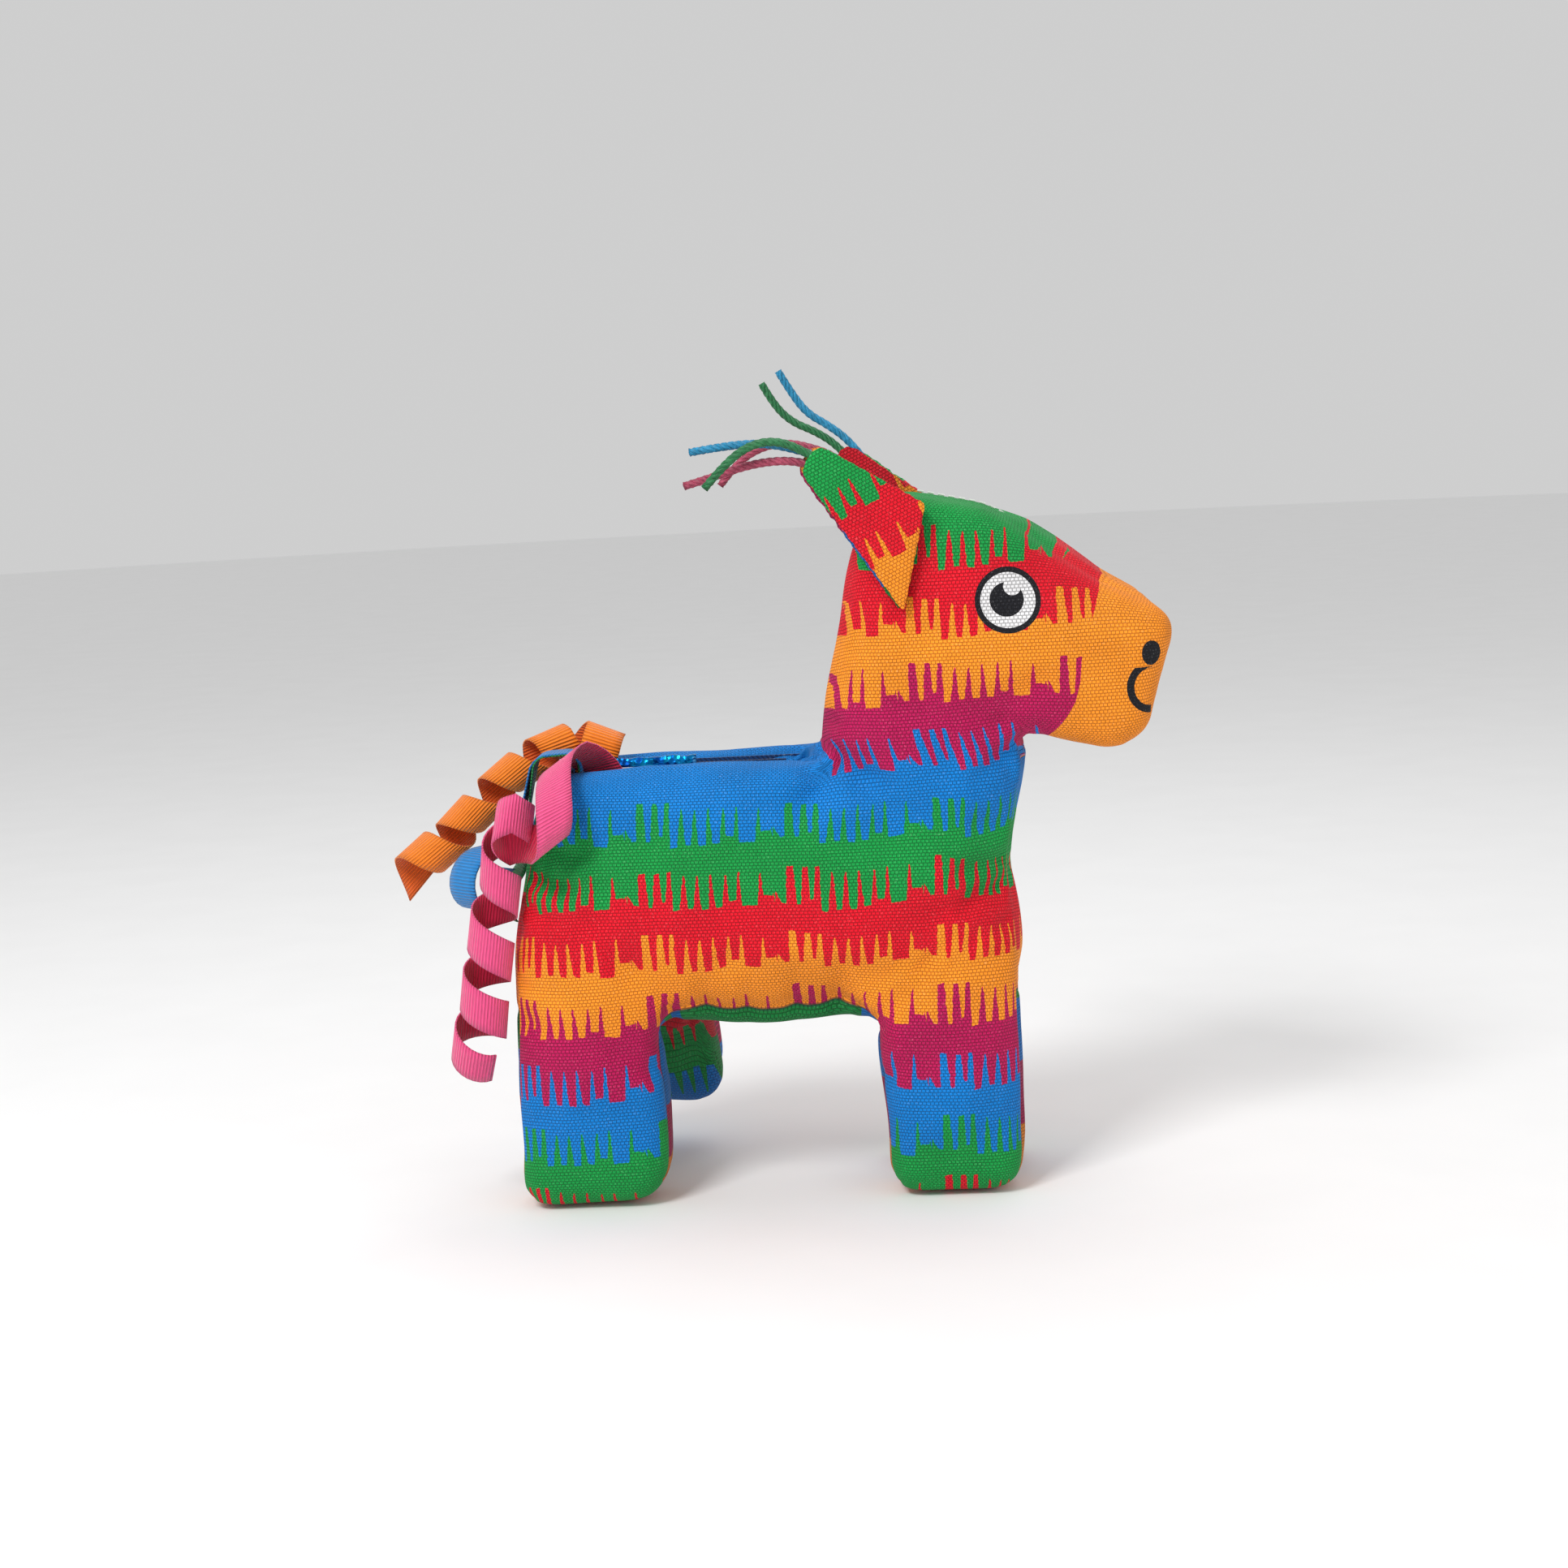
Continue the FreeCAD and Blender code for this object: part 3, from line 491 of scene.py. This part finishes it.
def buildCord(name, route, body, material):
    # Strands twisted round the cord's line, each swept from a small ring
    spots = cordCentre(name, route)
    shape = bmesh.new()
    uv = shape.loops.layers.uv.new("strand")
    radius = cordDiameter * mm / 2
    thick = radius * cordBraid["share"]
    travelled = [0.0]
    for a, b in zip(spots, spots[1:]):
        travelled.append(travelled[-1] + (b - a).length)
    side, sides = None, cordBraid["sides"]
    cordFrames = []
    for i, spot in enumerate(spots):
        ahead = (spots[min(i + 1, len(spots) - 1)] - spots[max(i - 1, 0)]).normalized()
        side = (ahead.cross(Vector((0, 1, 0))) if side is None else side - ahead * side.dot(ahead)).normalized()
        cordFrames.append((spot, ahead, side, ahead.cross(side)))
    for strand in range(cordBraid["strands"]):
        rings = []
        for (spot, ahead, across, above), run in zip(cordFrames, travelled):
            angle = 2 * math.pi * (strand / cordBraid["strands"] + run / (cordBraid["turn"] * mm))
            outward = across * math.cos(angle) + above * math.sin(angle)
            middle = spot + outward * (radius - thick)
            sideways = ahead.cross(outward)
            ring = [shape.verts.new(middle + (outward * math.cos(t) + sideways * math.sin(t)) * thick)
                    for t in (k * 2 * math.pi / sides for k in range(sides))]
            rings.append(ring)
        for i, (one, two) in enumerate(zip(rings, rings[1:])):
            for k in range(sides):
                made = shape.faces.new((one[k], one[(k + 1) % sides], two[(k + 1) % sides], two[k]))
                for loop, (u, v) in zip(made.loops, ((k, i), (k + 1, i), (k + 1, i + 1), (k, i + 1))):
                    loop[uv].uv = (u / sides, travelled[v])
        shape.faces.new(rings[0])
        shape.faces.new(reversed(rings[-1]))
    bmesh.ops.recalc_face_normals(shape, faces=shape.faces)
    piece = finishMesh(name + "Twist", shape, smooth=True)
    piece.data.materials.append(material)
    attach(piece, body)
    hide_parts(name)
    return piece


for name, route in cords.items():
    sideName, inkName = name.split("_")[:2]
    piece = buildCord(name, route, sideName + "_ear", cordMaterial(name + "Wax", cordInk[inkName]))
print("cords are made")

# the body
donkey = {
    "voxel": 1.5 * mm, "smooth": 3,
    "halfWidth": 24.0,
    "pressure": 8.0, "stiffness": 4.0, "frames": 18, "cap": (0.8 * mm, 3.4 * mm, 0.8 * mm),
    "lumps": (1.5, 26.0),
    # creases: a line from one place to another, its depth and half width, in millimetres
    "creases": (
        ((-64, 84), (-38, 80), 1.5, 2.6), ((-66, 76), (-44, 72), 0.9, 2.2), ((-60, 93), (-46, 88), 0.9, 2.2),
        ((57, 77), (38, 72), 1.5, 2.6), ((58, 84), (42, 82), 0.9, 2.0), ((58, 68), (46, 64), 0.7, 2.0),
        ((61, 112), (48, 104), 1.3, 2.6), ((14, 112), (26, 106), 1.3, 2.8), ((13, 120), (24, 118), 0.7, 2.2),
        ((56, 118), (66, 116), 0.8, 2.0), ((-28, 47), (-33, 58), 1.0, 2.2), ((-20, 50), (-21, 60), 0.8, 2.0),
        ((-10, 50), (-9, 58), 0.6, 1.8), ((2, 50), (3, 60), 0.7, 1.8), ((12, 49), (15, 60), 0.9, 2.0),
        ((22, 43), (28, 52), 1.0, 2.2), ((-34, 34), (-42, 40), 0.8, 2.2), ((24, 30), (32, 36), 0.7, 2.0),
        ((-70, 58), (-58, 56), 0.7, 2.0), ((33, 146), (34, 160), 1.0, 2.2), ((-60, 88), (-30, 96), 1.0, 3.4),
        ((-50, 100), (-44, 84), 1.1, 3.0), ((12, 110), (4, 96), 1.3, 3.4), ((20, 106), (34, 92), 1.0, 3.6),
        ((10, 104), (-10, 98), 0.8, 3.6), ((55, 92), (38, 96), 0.9, 3.2), ((54, 60), (36, 56), 0.8, 3.0),
        ((-66, 48), (-50, 44), 0.9, 3.0), ((-14, 62), (-2, 72), 0.8, 3.6), ((34, 60), (24, 70), 0.9, 3.6),
        ((-36, 60), (-44, 72), 0.9, 3.4), ((66, 128), (58, 122), 0.9, 3.0), ((44, 118), (30, 124), 0.8, 3.4),
        ((60, 106), (50, 118), 1.0, 3.0)),
    "creaseShare": 1.8, "seamDepth": 0.6, "seamHalf": 0.9, "belly": 4.2, "standing": 2.0,
    # where the print stops at the top, behind and ahead of the place where the neck begins
    "printTop": (106.5, 171.5), "neck": 11.5,
    # the two ends of the trunk, round which the print wraps, and the height up to which it does
    "ends": (-50.0, 45.0, 108.0),
    # how far the print on the head is set along, from what height and over how much height
    "headShift": (3.5, 104.0, 14.0),
    # the print on the gusset: how far along, its top, how much lower it lies on the left side, half the blend
    "gussetPrint": (9.0, 140.5, 25.0, 4.0),
    # the pocket, from x to x, half its width, and from z to z; the belly, from x to x and from z to z
    "pocket": (-53.5, 9.5, 10.0, 61.0, 111.5), "bellyPlace": (-34.0, 25.0, 38.0, 62.0),
    "bellyEnd": 8.0, "bellyHalf": 22.0, "bellyEdge": 1.2,
}


def creaseDepth(x, z, creases):
    depth = 0.0
    for (x1, z1), (x2, z2), deep, wide in creases:
        runX, runZ = x2 - x1, z2 - z1
        share = max(0.0, min(1.0, ((x - x1) * runX + (z - z1) * runZ) / (runX * runX + runZ * runZ)))
        gone = math.hypot(x - x1 - share * runX, z - z1 - share * runZ)
        depth += deep * math.exp(-(gone / wide) ** 2) * (1.0 - 0.7 * share)
    return depth


def buildBody():
    skins = ("right_side_panel", "left_side_panel", "under_body_gusset", "body_stuffing")
    piece = softShell("donkeyBody", skins, donkey)
    toPanels = nearnessTo(skins[:2])
    toGusset = nearnessTo(skins[2:3])
    rearTop, headTop = donkey["printTop"]
    endBack, endFront, endTop = donkey["ends"]
    mostShift, shiftFrom, shiftOver = donkey["headShift"]
    gussetAlong, gussetTop, gussetDrop, gussetBlend = donkey["gussetPrint"]
    cut, turned, panel, shifted, weave = [], [], [], [], []
    for vert in piece.data.vertices:
        x, y, z = vert.co.x / mm, (vert.co.y - midPlane) / mm, vert.co.z / mm
        # how far a place lies round the edge from the side face
        inward = max(0.0, donkey["halfWidth"] - abs(y))
        aroundEdge = x + vert.normal.x * inward
        weave.append((aroundEdge, z + vert.normal.z * inward, 0))
        share = min(1.0, max(0.0, (y + gussetBlend) / (2 * gussetBlend)))
        atEnd = z < endTop and (x < endBack or x > endFront)
        cut.append((aroundEdge if atEnd else x, y, min(z, rearTop if x < donkey["neck"] else headTop)))
        shifted.append(mostShift * min(1.0, max(0.0, (z - shiftFrom) / shiftOver)))
        turned.append((x + gussetAlong, y, gussetTop - z - gussetDrop * share))
        panel.append((toPanels(vert.co) - toGusset(vert.co)) / mm)
    writeAttribute(piece, "cut", "FLOAT_VECTOR", cut)
    writeAttribute(piece, "turned", "FLOAT_VECTOR", turned)
    writeAttribute(piece, "panel", "FLOAT", panel)
    writeAttribute(piece, "shift", "FLOAT", shifted)
    writeAttribute(piece, "weave", "FLOAT_VECTOR", weave)
    puff(piece, donkey, nearnessTo([n for n in nodes if n.endswith("_ribbon")]))
    normals = [v.normal.copy() for v in piece.data.vertices]
    lumpHeight, lumpSize = donkey["lumps"]
    pocketBack, pocketFront, pocketHalf, pocketLow, pocketTop = donkey["pocket"]
    bellyBack, bellyFront, bellyLow, bellyTop = donkey["bellyPlace"]
    bellyEnd, bellyEdge = donkey["bellyEnd"], donkey["bellyEdge"]
    for vert, normal, (x, y, z), near in zip(piece.data.vertices, normals, cut, panel):
        if pocketBack < x < pocketFront and abs(y) < pocketHalf and pocketLow < z < pocketTop:
            continue
        move = lumpHeight * noise.noise(Vector((x, y, z)) / lumpSize)
        move -= donkey["creaseShare"] * creaseDepth(x, z, donkey["creases"]) * min(1.0, abs(normal.y) * 2.0)
        move -= donkey["seamDepth"] * math.exp(-(near / donkey["seamHalf"]) ** 2)
        if z > donkey["standing"]:
            vert.co += normal * move * mm
        if bellyBack < x < bellyFront and bellyLow < z < bellyTop:
            ends = min(1.0, (x - bellyBack) / bellyEnd, (bellyFront - x) / bellyEnd)
            ends *= min(1.0, max(0.0, (near + bellyEdge) / (2 * bellyEdge)))
            middle = max(0.0, 1 - (y / donkey["bellyHalf"]) ** 6)
            vert.co.z -= donkey["belly"] * ends * middle * max(0.0, -normal.z) * mm
        vert.co.z = max(vert.co.z, 0.0)
    piece.data.materials.append(canvasMaterial("printedCanvas", withFace=True))
    subdivided(piece)
    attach(piece, "donkey")
    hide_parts(*skins)


buildBody()
print("the body is made")

# ears
ears = {
    "voxel": 0.8 * mm, "smooth": 3, "pressure": 4.0, "stiffness": 4.0, "frames": 10,
    "cap": (0.5 * mm, 0.5 * mm, 0.5 * mm),
    # the print: the ear's own direction up, where an edge of it lies and at what level, and its least and most
    "up": (-0.42, 0.907), "edgeAt": 144.8, "edgeLevel": 157.0, "stretch": 1.15, "shift": 4.0,
    "levels": (134.5, 171.5), "flatness": 0.3,
    # on the back: how many bands further the right one is, and the left one's level, where, and its stretch
    "backBands": 2.3, "leftBack": (149.0, 150.0, 0.8),
}


def buildEar(side):
    layers = [side + "_ear_" + part for part in ("front", "padding", "back")]
    piece = softShell(side + "Ear", layers, ears)
    toFront, toBack = nearnessTo(layers[:1]), nearnessTo(layers[2:])
    upX, upZ = ears["up"]
    least, most = ears["levels"]
    backLevel, backAt, backStretch = ears["leftBack"]
    cut, turned, panel, weave = [], [], [], []
    for vert in piece.data.vertices:
        x, y, z = vert.co.x / mm, (vert.co.y - midPlane) / mm, vert.co.z / mm
        along = x * upZ - z * upX
        up = x * upX + z * upZ
        level = ears["edgeLevel"] + (up - ears["edgeAt"]) * ears["stretch"]
        cut.append((along + ears["shift"], y * ears["flatness"], min(most, max(least, level))))
        if side == "right":
            level += ears["backBands"] * canvas["bandHeight"]
        else:
            level = backLevel + (up - backAt) * backStretch
        turned.append((along, y * ears["flatness"], level))
        weave.append((along, up, 0))
        panel.append((toFront(vert.co) - toBack(vert.co)) / mm)
    writeAttribute(piece, "cut", "FLOAT_VECTOR", cut)
    writeAttribute(piece, "turned", "FLOAT_VECTOR", turned)
    writeAttribute(piece, "panel", "FLOAT", panel)
    writeAttribute(piece, "weave", "FLOAT_VECTOR", weave)
    puff(piece, ears)
    piece.data.materials.append(canvasMaterial(side + "EarCanvas"))
    subdivided(piece)
    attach(piece, side + "_ear")
    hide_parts(*layers)


for side in ("right", "left"):
    buildEar(side)
print("ears are made")

# ribbons
ribbonWidth, ribbonThickness = 10.0, 0.4
# each move of a ribbon: run, roll, drift across, then turns about Y, X and Z
ribbons = {
    "orange": ((-46.8, 2.0, 106.0), 0, (
        (7.3, 0, -1.5, 18.9, -3.7, 0), (8.0, 90, 0.4, 3.7, -8.1, 0), (13.7, 180, 8.4, -30.3, -11.4, 0),
        (7.5, 90, 1.7, -12.5, -11.7, 0), (6.8, 90, 3.9, 3.0, -18.1, 0), (16.8, 180, 6.3, -17.8, 0.8, 0),
        (7.5, 90, 3.5, -0.7, -0.2, 0), (31.4, 360, 15.3, -8.2, 3.1, 0), (32.0, 360, 14.0, 9.5, -3.1, 0),
        (17.3, 160, 8.6, -12.4, -2.7, 0))),
    "pink": ((-42.0, -2.0, 102.9), 180, (
        (3.8, 0, -1.2, -4.3, 24.9, 0), (13.8, 60, -5.3, -31.4, -14.4, 0), (19.6, 120, -11.2, 1.4, -52.7, 0),
        (13.2, 90, -6.4, -1.6, 48.4, 0), (13.2, 90, -4.3, -56.3, 16.6, 0), (5.3, 90, 5.8, 11.3, -27.0, 0),
        (5.9, 90, 3.1, 1.8, 27.3, 0), (27.7, 270, -15.7, -2.7, 6.0, 0), (15.2, 180, -7.4, 1.0, -14.8, 0),
        (35.5, 360, -16.7, 0.6, 7.0, 0), (36.9, 360, -15.3, -1.7, 1.2, 0), (33.8, 300, -9.1, 7.1, 27.9, 0))),
    "blue": ((-48.7, -3.3, 100.0), 90, (
        (9.5, 0, 0, 0, 0, 0), (6, 90, 2, 0, 0, 0), (4, 0, 1.5, 0, 0, 0), (6, 75, 0.5, 0, 0, 0), (14.5, 0, 0, 0, 0, 0),
        (8, -65, 0, 0, 0, 25), (4, 0, -1, 0, 0, 20), (27, 200, -3, 0, 0, 5), (10, 40, -3, 0, 0, 0))),
    "green": ((-49.1, -3.3, 102.0), 90, (
        (8.2, 0, 0, 0, 0, 0), (4.6, 90, 2, 0, 0, 0), (4.6, 0, 1.5, 0, 0, 0), (4.6, 75, 0.5, 0, 0, 0),
        (20, 10, -4, 0, 0, 10), (12, -40, -3, 0, 0, 20), (10, 85, 0, 0, 0, 0))),
}
# each ribbon's ink, then a darker copy of it for the inner face, which is painted shade
ribbonInkAndShade = {"orange": (linear(255, 132, 0), linear(230, 96, 0)), "pink": (linear(252, 84, 144), linear(214, 20, 72)),
             "blue": (linear(0, 132, 208), linear(2, 90, 150)), "green": (linear(22, 150, 74), linear(10, 98, 46))}
grosgrain = {"ribPitch": 0.85 * mm, "ribDepth": 0.2 * mm}


def ribbonMaterial(name, ink, depth):
    # Ribbed ribbon: ribs across its width, closer threads at its two woven edges
    material, tree, shader = newMaterial(name, 0.62, sheen=0.2, specular=0.4)
    parts = addNode(tree, "ShaderNodeSeparateXYZ", {0: addNode(tree, "ShaderNodeUVMap", uv_map="ribbon").outputs[0]})
    across, along = parts.outputs[0], parts.outputs[1]
    wave = sums(tree, "SINE", sums(tree, "MULTIPLY", along, 2 * math.pi / grosgrain["ribPitch"]))
    flat = addNode(tree, "ShaderNodeCombineXYZ", {0: across, 1: along}).outputs[0]
    stretch = addNode(tree, "ShaderNodeMapping", {"Vector": flat, "Scale": (5.0, 3000.0, 1.0)}).outputs[0]
    threads = grain(tree, stretch, 1.0, 2.0)
    fromEdge = sums(tree, "ABSOLUTE", sums(tree, "SUBTRACT", across, 0.5))
    edge = sums(tree, "GREATER_THAN", fromEdge, 0.465)
    # painted highlight and painted shade: each rib's crest lightened to 1.14 and its hollow darkened to 0.74, times
    # random thread tone and the darker woven edges
    shade = sums(tree, "MULTIPLY", span(tree, wave, -1.0, 1.0, 0.74, 1.14), span(tree, threads, 0.3, 0.7, 0.88, 1.1))
    shade = sums(tree, "MULTIPLY", shade, sums(tree, "MULTIPLY_ADD", edge, -0.12, 1.0))
    colour = blendColours(tree, 1.0, ink, greyOf(tree, shade), "MULTIPLY")
    tree.links.new(colour, shader.inputs["Base Color"])
    tree.links.new(span(tree, threads, 0.3, 0.7, 0.52, 0.72), shader.inputs["Roughness"])
    bumped(tree, shader, sums(tree, "MULTIPLY_ADD", threads, 0.4, wave), 0.8, depth)
    return material


def curl(start, heading, moves):
    # Frames (centre, across, outward) of a ribbon that runs ahead, rolls, drifts and turns
    turn = Matrix.Rotation(math.radians(heading), 3, "Z")
    spot, across, outward = Vector(start), turn @ Vector((-1, 0, 0)), turn @ Vector((0, -1, 0))
    ribbonFrames = [(spot.copy(), across.copy(), outward.copy())]
    for run, roll, drift, aboutY, aboutX, aboutZ in moves:
        count = max(2, math.ceil(max(abs(roll) / 15, run / 5)))
        step = math.radians(roll) / count
        chord = run / count * (math.sin(step / 2) / (step / 2) if step else 1.0)
        lean = Matrix.Identity(3)
        for axis, degrees in (("Z", aboutZ), ("X", aboutX), ("Y", aboutY)):
            lean = lean @ Matrix.Rotation(math.radians(degrees) / count, 3, axis)
        for _ in range(count):
            half = Matrix.Rotation(step / 2, 3, across)
            ahead = half @ across.cross(outward)
            spot = spot + ahead * chord + across * (drift / count)
            outward = Matrix.Rotation(step, 3, across) @ outward
            across, outward = lean @ across, lean @ outward
            ribbonFrames.append((spot.copy(), across.copy(), outward.copy()))
    return ribbonFrames


def buildRibbon(colourName, start, heading, moves):
    ribbonFrames = curl(start, heading, moves)
    shape = bmesh.new()
    uv = shape.loops.layers.uv.new("ribbon")
    strips = 4
    travelled = [0.0]
    for (a, _, _), (b, _, _) in zip(ribbonFrames, ribbonFrames[1:]):
        travelled.append(travelled[-1] + (b - a).length)
    spot, across, _ = ribbonFrames[0]
    edge = [shape.verts.new(place(*(spot + across * ribbonWidth * (k / strips - 0.5)))) for k in range(strips + 1)]
    line = [shape.edges.new((a, b)) for a, b in zip(edge, edge[1:])]
    rows = [edge]
    for spot, across, _ in ribbonFrames[1:]:
        made = bmesh.ops.extrude_edge_only(shape, edges=line)["geom"]
        line = [g for g in made if isinstance(g, bmesh.types.BMEdge)]
        newVerts = [g for g in made if isinstance(g, bmesh.types.BMVert)]
        ordered = []
        for old in rows[-1]:
            ordered.append(next(e.other_vert(old) for e in old.link_edges if e.other_vert(old) in newVerts))
        for k, vert in enumerate(ordered):
            vert.co = place(*(spot + across * ribbonWidth * (k / strips - 0.5)))
        rows.append(ordered)
    places = {v: (k / strips, travelled[i] * mm) for i, row in enumerate(rows) for k, v in enumerate(row)}
    shape.faces.ensure_lookup_table()
    for made in shape.faces:
        for loop in made.loops:
            loop[uv].uv = places[loop.vert]
    shape.normal_update()
    outward = ribbonFrames[1][2]
    if shape.faces[0].normal.dot(outward) < 0:
        bmesh.ops.reverse_faces(shape, faces=shape.faces)
    piece = finishMesh(colourName + "Ribbon", shape, smooth=True)
    # the inner face takes the darker ink: painted shade
    outer, inner = ribbonInkAndShade[colourName]
    piece.data.materials.append(ribbonMaterial(colourName + "Grosgrain", outer, grosgrain["ribDepth"]))
    piece.data.materials.append(ribbonMaterial(colourName + "GrosgrainBackPaintedShade", inner, grosgrain["ribDepth"]))
    wall = piece.modifiers.new("wall", "SOLIDIFY")
    wall.thickness = ribbonThickness * mm
    wall.offset = 0.0
    wall.material_offset = 1
    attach(piece, "insert")
    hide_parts(colourName + "_ribbon")


for colourName, (start, heading, moves) in ribbons.items():
    buildRibbon(colourName, start, heading, moves)
print("ribbons are made")

# the foil pouch
pouch = {
    "size": (28.0, 3.4, 44.0), "centre": (-34.5, 0.0, 88.5), "cuts": (40, 56), "crumple": 0.9 * mm * 0.6,
    # shares of the depth at the seams, in the middle and in the folds, and how close folds of three kinds lie
    "depths": (0.25, 0.6, 0.15), "folds": (420, 900, 300),
}


def foilMaterial():
    # Prismatic foil: a grid of small facets that each catch the light their own way
    material, tree, shader = newMaterial("prismFoil", 0.16, metallic=0.95, specular=0.6)
    solid = addNode(tree, "ShaderNodeTexCoord").outputs["Object"]
    cells = addNode(tree, "ShaderNodeTexVoronoi", {"Vector": solid, "Scale": 700.0})
    tint = grain(tree, solid, 160.0, 3.0)
    ramp = addNode(tree, "ShaderNodeValToRGB", {"Fac": tint})
    ramp.color_ramp.elements[0].position, ramp.color_ramp.elements[0].color = 0.35, linear(0, 40, 110)
    ramp.color_ramp.elements[1].position, ramp.color_ramp.elements[1].color = 0.62, linear(10, 130, 200)
    ramp.color_ramp.elements.new(0.72).color = linear(130, 220, 235)
    # painted reflection: each cell's random colour, soft-lit over the tint, makes its facet brighter or darker as if
    # it caught the light its own way
    colour = blendColours(tree, 0.35, ramp.outputs[0], cells.outputs["Color"], "SOFT_LIGHT")
    tree.links.new(colour, shader.inputs["Base Color"])
    tree.links.new(span(tree, cells.outputs["Distance"], 0.0, 0.6, 0.1, 0.3), shader.inputs["Roughness"])
    bumped(tree, shader, cells.outputs["Distance"], 0.6, 0.0004)
    return material


def buildPouch():
    wide, deep, high = pouch["size"]
    shape = bmesh.new()
    bmesh.ops.create_cube(shape, size=1.0)
    bmesh.ops.transform(shape, verts=shape.verts, matrix=Matrix.Diagonal((wide * mm, deep * mm, high * mm, 1)))
    for axis, cuts in zip((0, 2), pouch["cuts"]):
        chosen = [e for e in shape.edges if abs((e.verts[0].co - e.verts[1].co).normalized()[axis]) > 0.9]
        bmesh.ops.subdivide_edges(shape, edges=chosen, cuts=cuts, use_grid_fill=True)
    (seam, fullness, folded), (coarse, fine, rim) = pouch["depths"], pouch["folds"]
    for vert in shape.verts:
        x, z = vert.co.x / (wide * mm) * 2, vert.co.z / (high * mm) * 2
        pillow = max(0.0, (1 - x ** 4) * (1 - z ** 6)) ** 0.5
        crumple = noise.noise(vert.co * coarse) + 0.5 * noise.noise(vert.co * fine)
        vert.co.y *= seam + fullness * pillow + folded * crumple
        vert.co.z += pouch["crumple"] * noise.noise(vert.co * rim) * max(0.0, z)
    bmesh.ops.translate(shape, verts=shape.verts, vec=place(*pouch["centre"]))
    bmesh.ops.recalc_face_normals(shape, faces=shape.faces)
    piece = finishMesh("foilPouch", shape)
    piece.data.materials.append(foilMaterial())
    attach(piece, "insert")
    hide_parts("right_pouch_film", "left_pouch_film")


buildPouch()
print("the pouch is made")

# pocket, tapes and thread


def twillMaterial(name, ink, scale, rough=0.85):
    # Close diagonal cloth with a little lint on it
    material, tree, shader = newMaterial(name, rough, sheen=0.3, specular=0.2)
    solid = addNode(tree, "ShaderNodeTexCoord").outputs["Object"]
    parts = addNode(tree, "ShaderNodeSeparateXYZ", {0: solid})
    diagonal = sums(tree, "ADD", parts.outputs[0], parts.outputs[2])
    ribs = sums(tree, "SINE", sums(tree, "MULTIPLY", diagonal, scale))
    lint = grain(tree, solid, 1600.0, 3.0)
    # painted shade: the colour runs down to 0.4 of the ink between the diagonal ribs
    dark = tuple(c * 0.4 for c in ink[:3]) + (1,)
    colour = blendColours(tree, span(tree, ribs, -1.0, 1.0), dark, ink)
    colour = blendColours(tree, span(tree, lint, 0.62, 0.75, 0.0, 0.5), colour, linear(150, 190, 215))
    tree.links.new(colour, shader.inputs["Base Color"])
    tree.links.new(span(tree, lint, 0.3, 0.7, rough - 0.12, rough + 0.08), shader.inputs["Roughness"])
    bumped(tree, shader, sums(tree, "ADD", ribs, lint), 0.7, 0.0002)
    return material


def threadMaterial():
    # Pale sewing thread with fine fibres
    material, tree, shader = newMaterial("paleThread", 0.5, sheen=0.2)
    solid = addNode(tree, "ShaderNodeTexCoord").outputs["Object"]
    fibre = grain(tree, solid, 3000.0, 2.0)
    colour = blendColours(tree, fibre, linear(170, 178, 170), linear(245, 246, 240))
    tree.links.new(colour, shader.inputs["Base Color"])
    tree.links.new(span(tree, fibre, 0.3, 0.7, 0.4, 0.65), shader.inputs["Roughness"])
    bumped(tree, shader, fibre, 0.5, 0.0001)
    return material


def crinkleMaterial():
    # Milky film with sharp small folds
    material, tree, shader = newMaterial("crinkleFilm", 0.35, specular=0.6)
    solid = addNode(tree, "ShaderNodeTexCoord").outputs["Object"]
    cells = addNode(tree, "ShaderNodeTexVoronoi", {"Vector": solid, "Scale": 260.0}, feature="DISTANCE_TO_EDGE")
    folds = cells.outputs[0]
    # painted shade: the film is darker along the fold lines
    colour = blendColours(tree, span(tree, folds, 0.0, 0.2), linear(190, 196, 200), linear(236, 240, 242))
    tree.links.new(colour, shader.inputs["Base Color"])
    tree.links.new(span(tree, folds, 0.0, 0.4, 0.45, 0.25), shader.inputs["Roughness"])
    bumped(tree, shader, folds, 0.8, 0.0005)
    return material


def dress(node, material):
    # Gives a CAD node's object its own finish
    slots = nodes[node].material_slots
    if slots:
        for slot in slots:
            slot.material = material
    else:
        nodes[node].data.materials.append(material)


liningBlue, tapeBlue = linear(6, 66, 128), linear(4, 58, 116)
dress("pocket_lining", twillMaterial("pocketTwill", liningBlue, 5200.0))
dress("hook_tape", twillMaterial("hookTape", tapeBlue, 7400.0))
dress("loop_tape", twillMaterial("loopTape", tapeBlue, 6600.0))
dress("head_seam_thread", threadMaterial())
dress("crinkle_filling", crinkleMaterial())
print("pocket, tapes and thread have their finish")
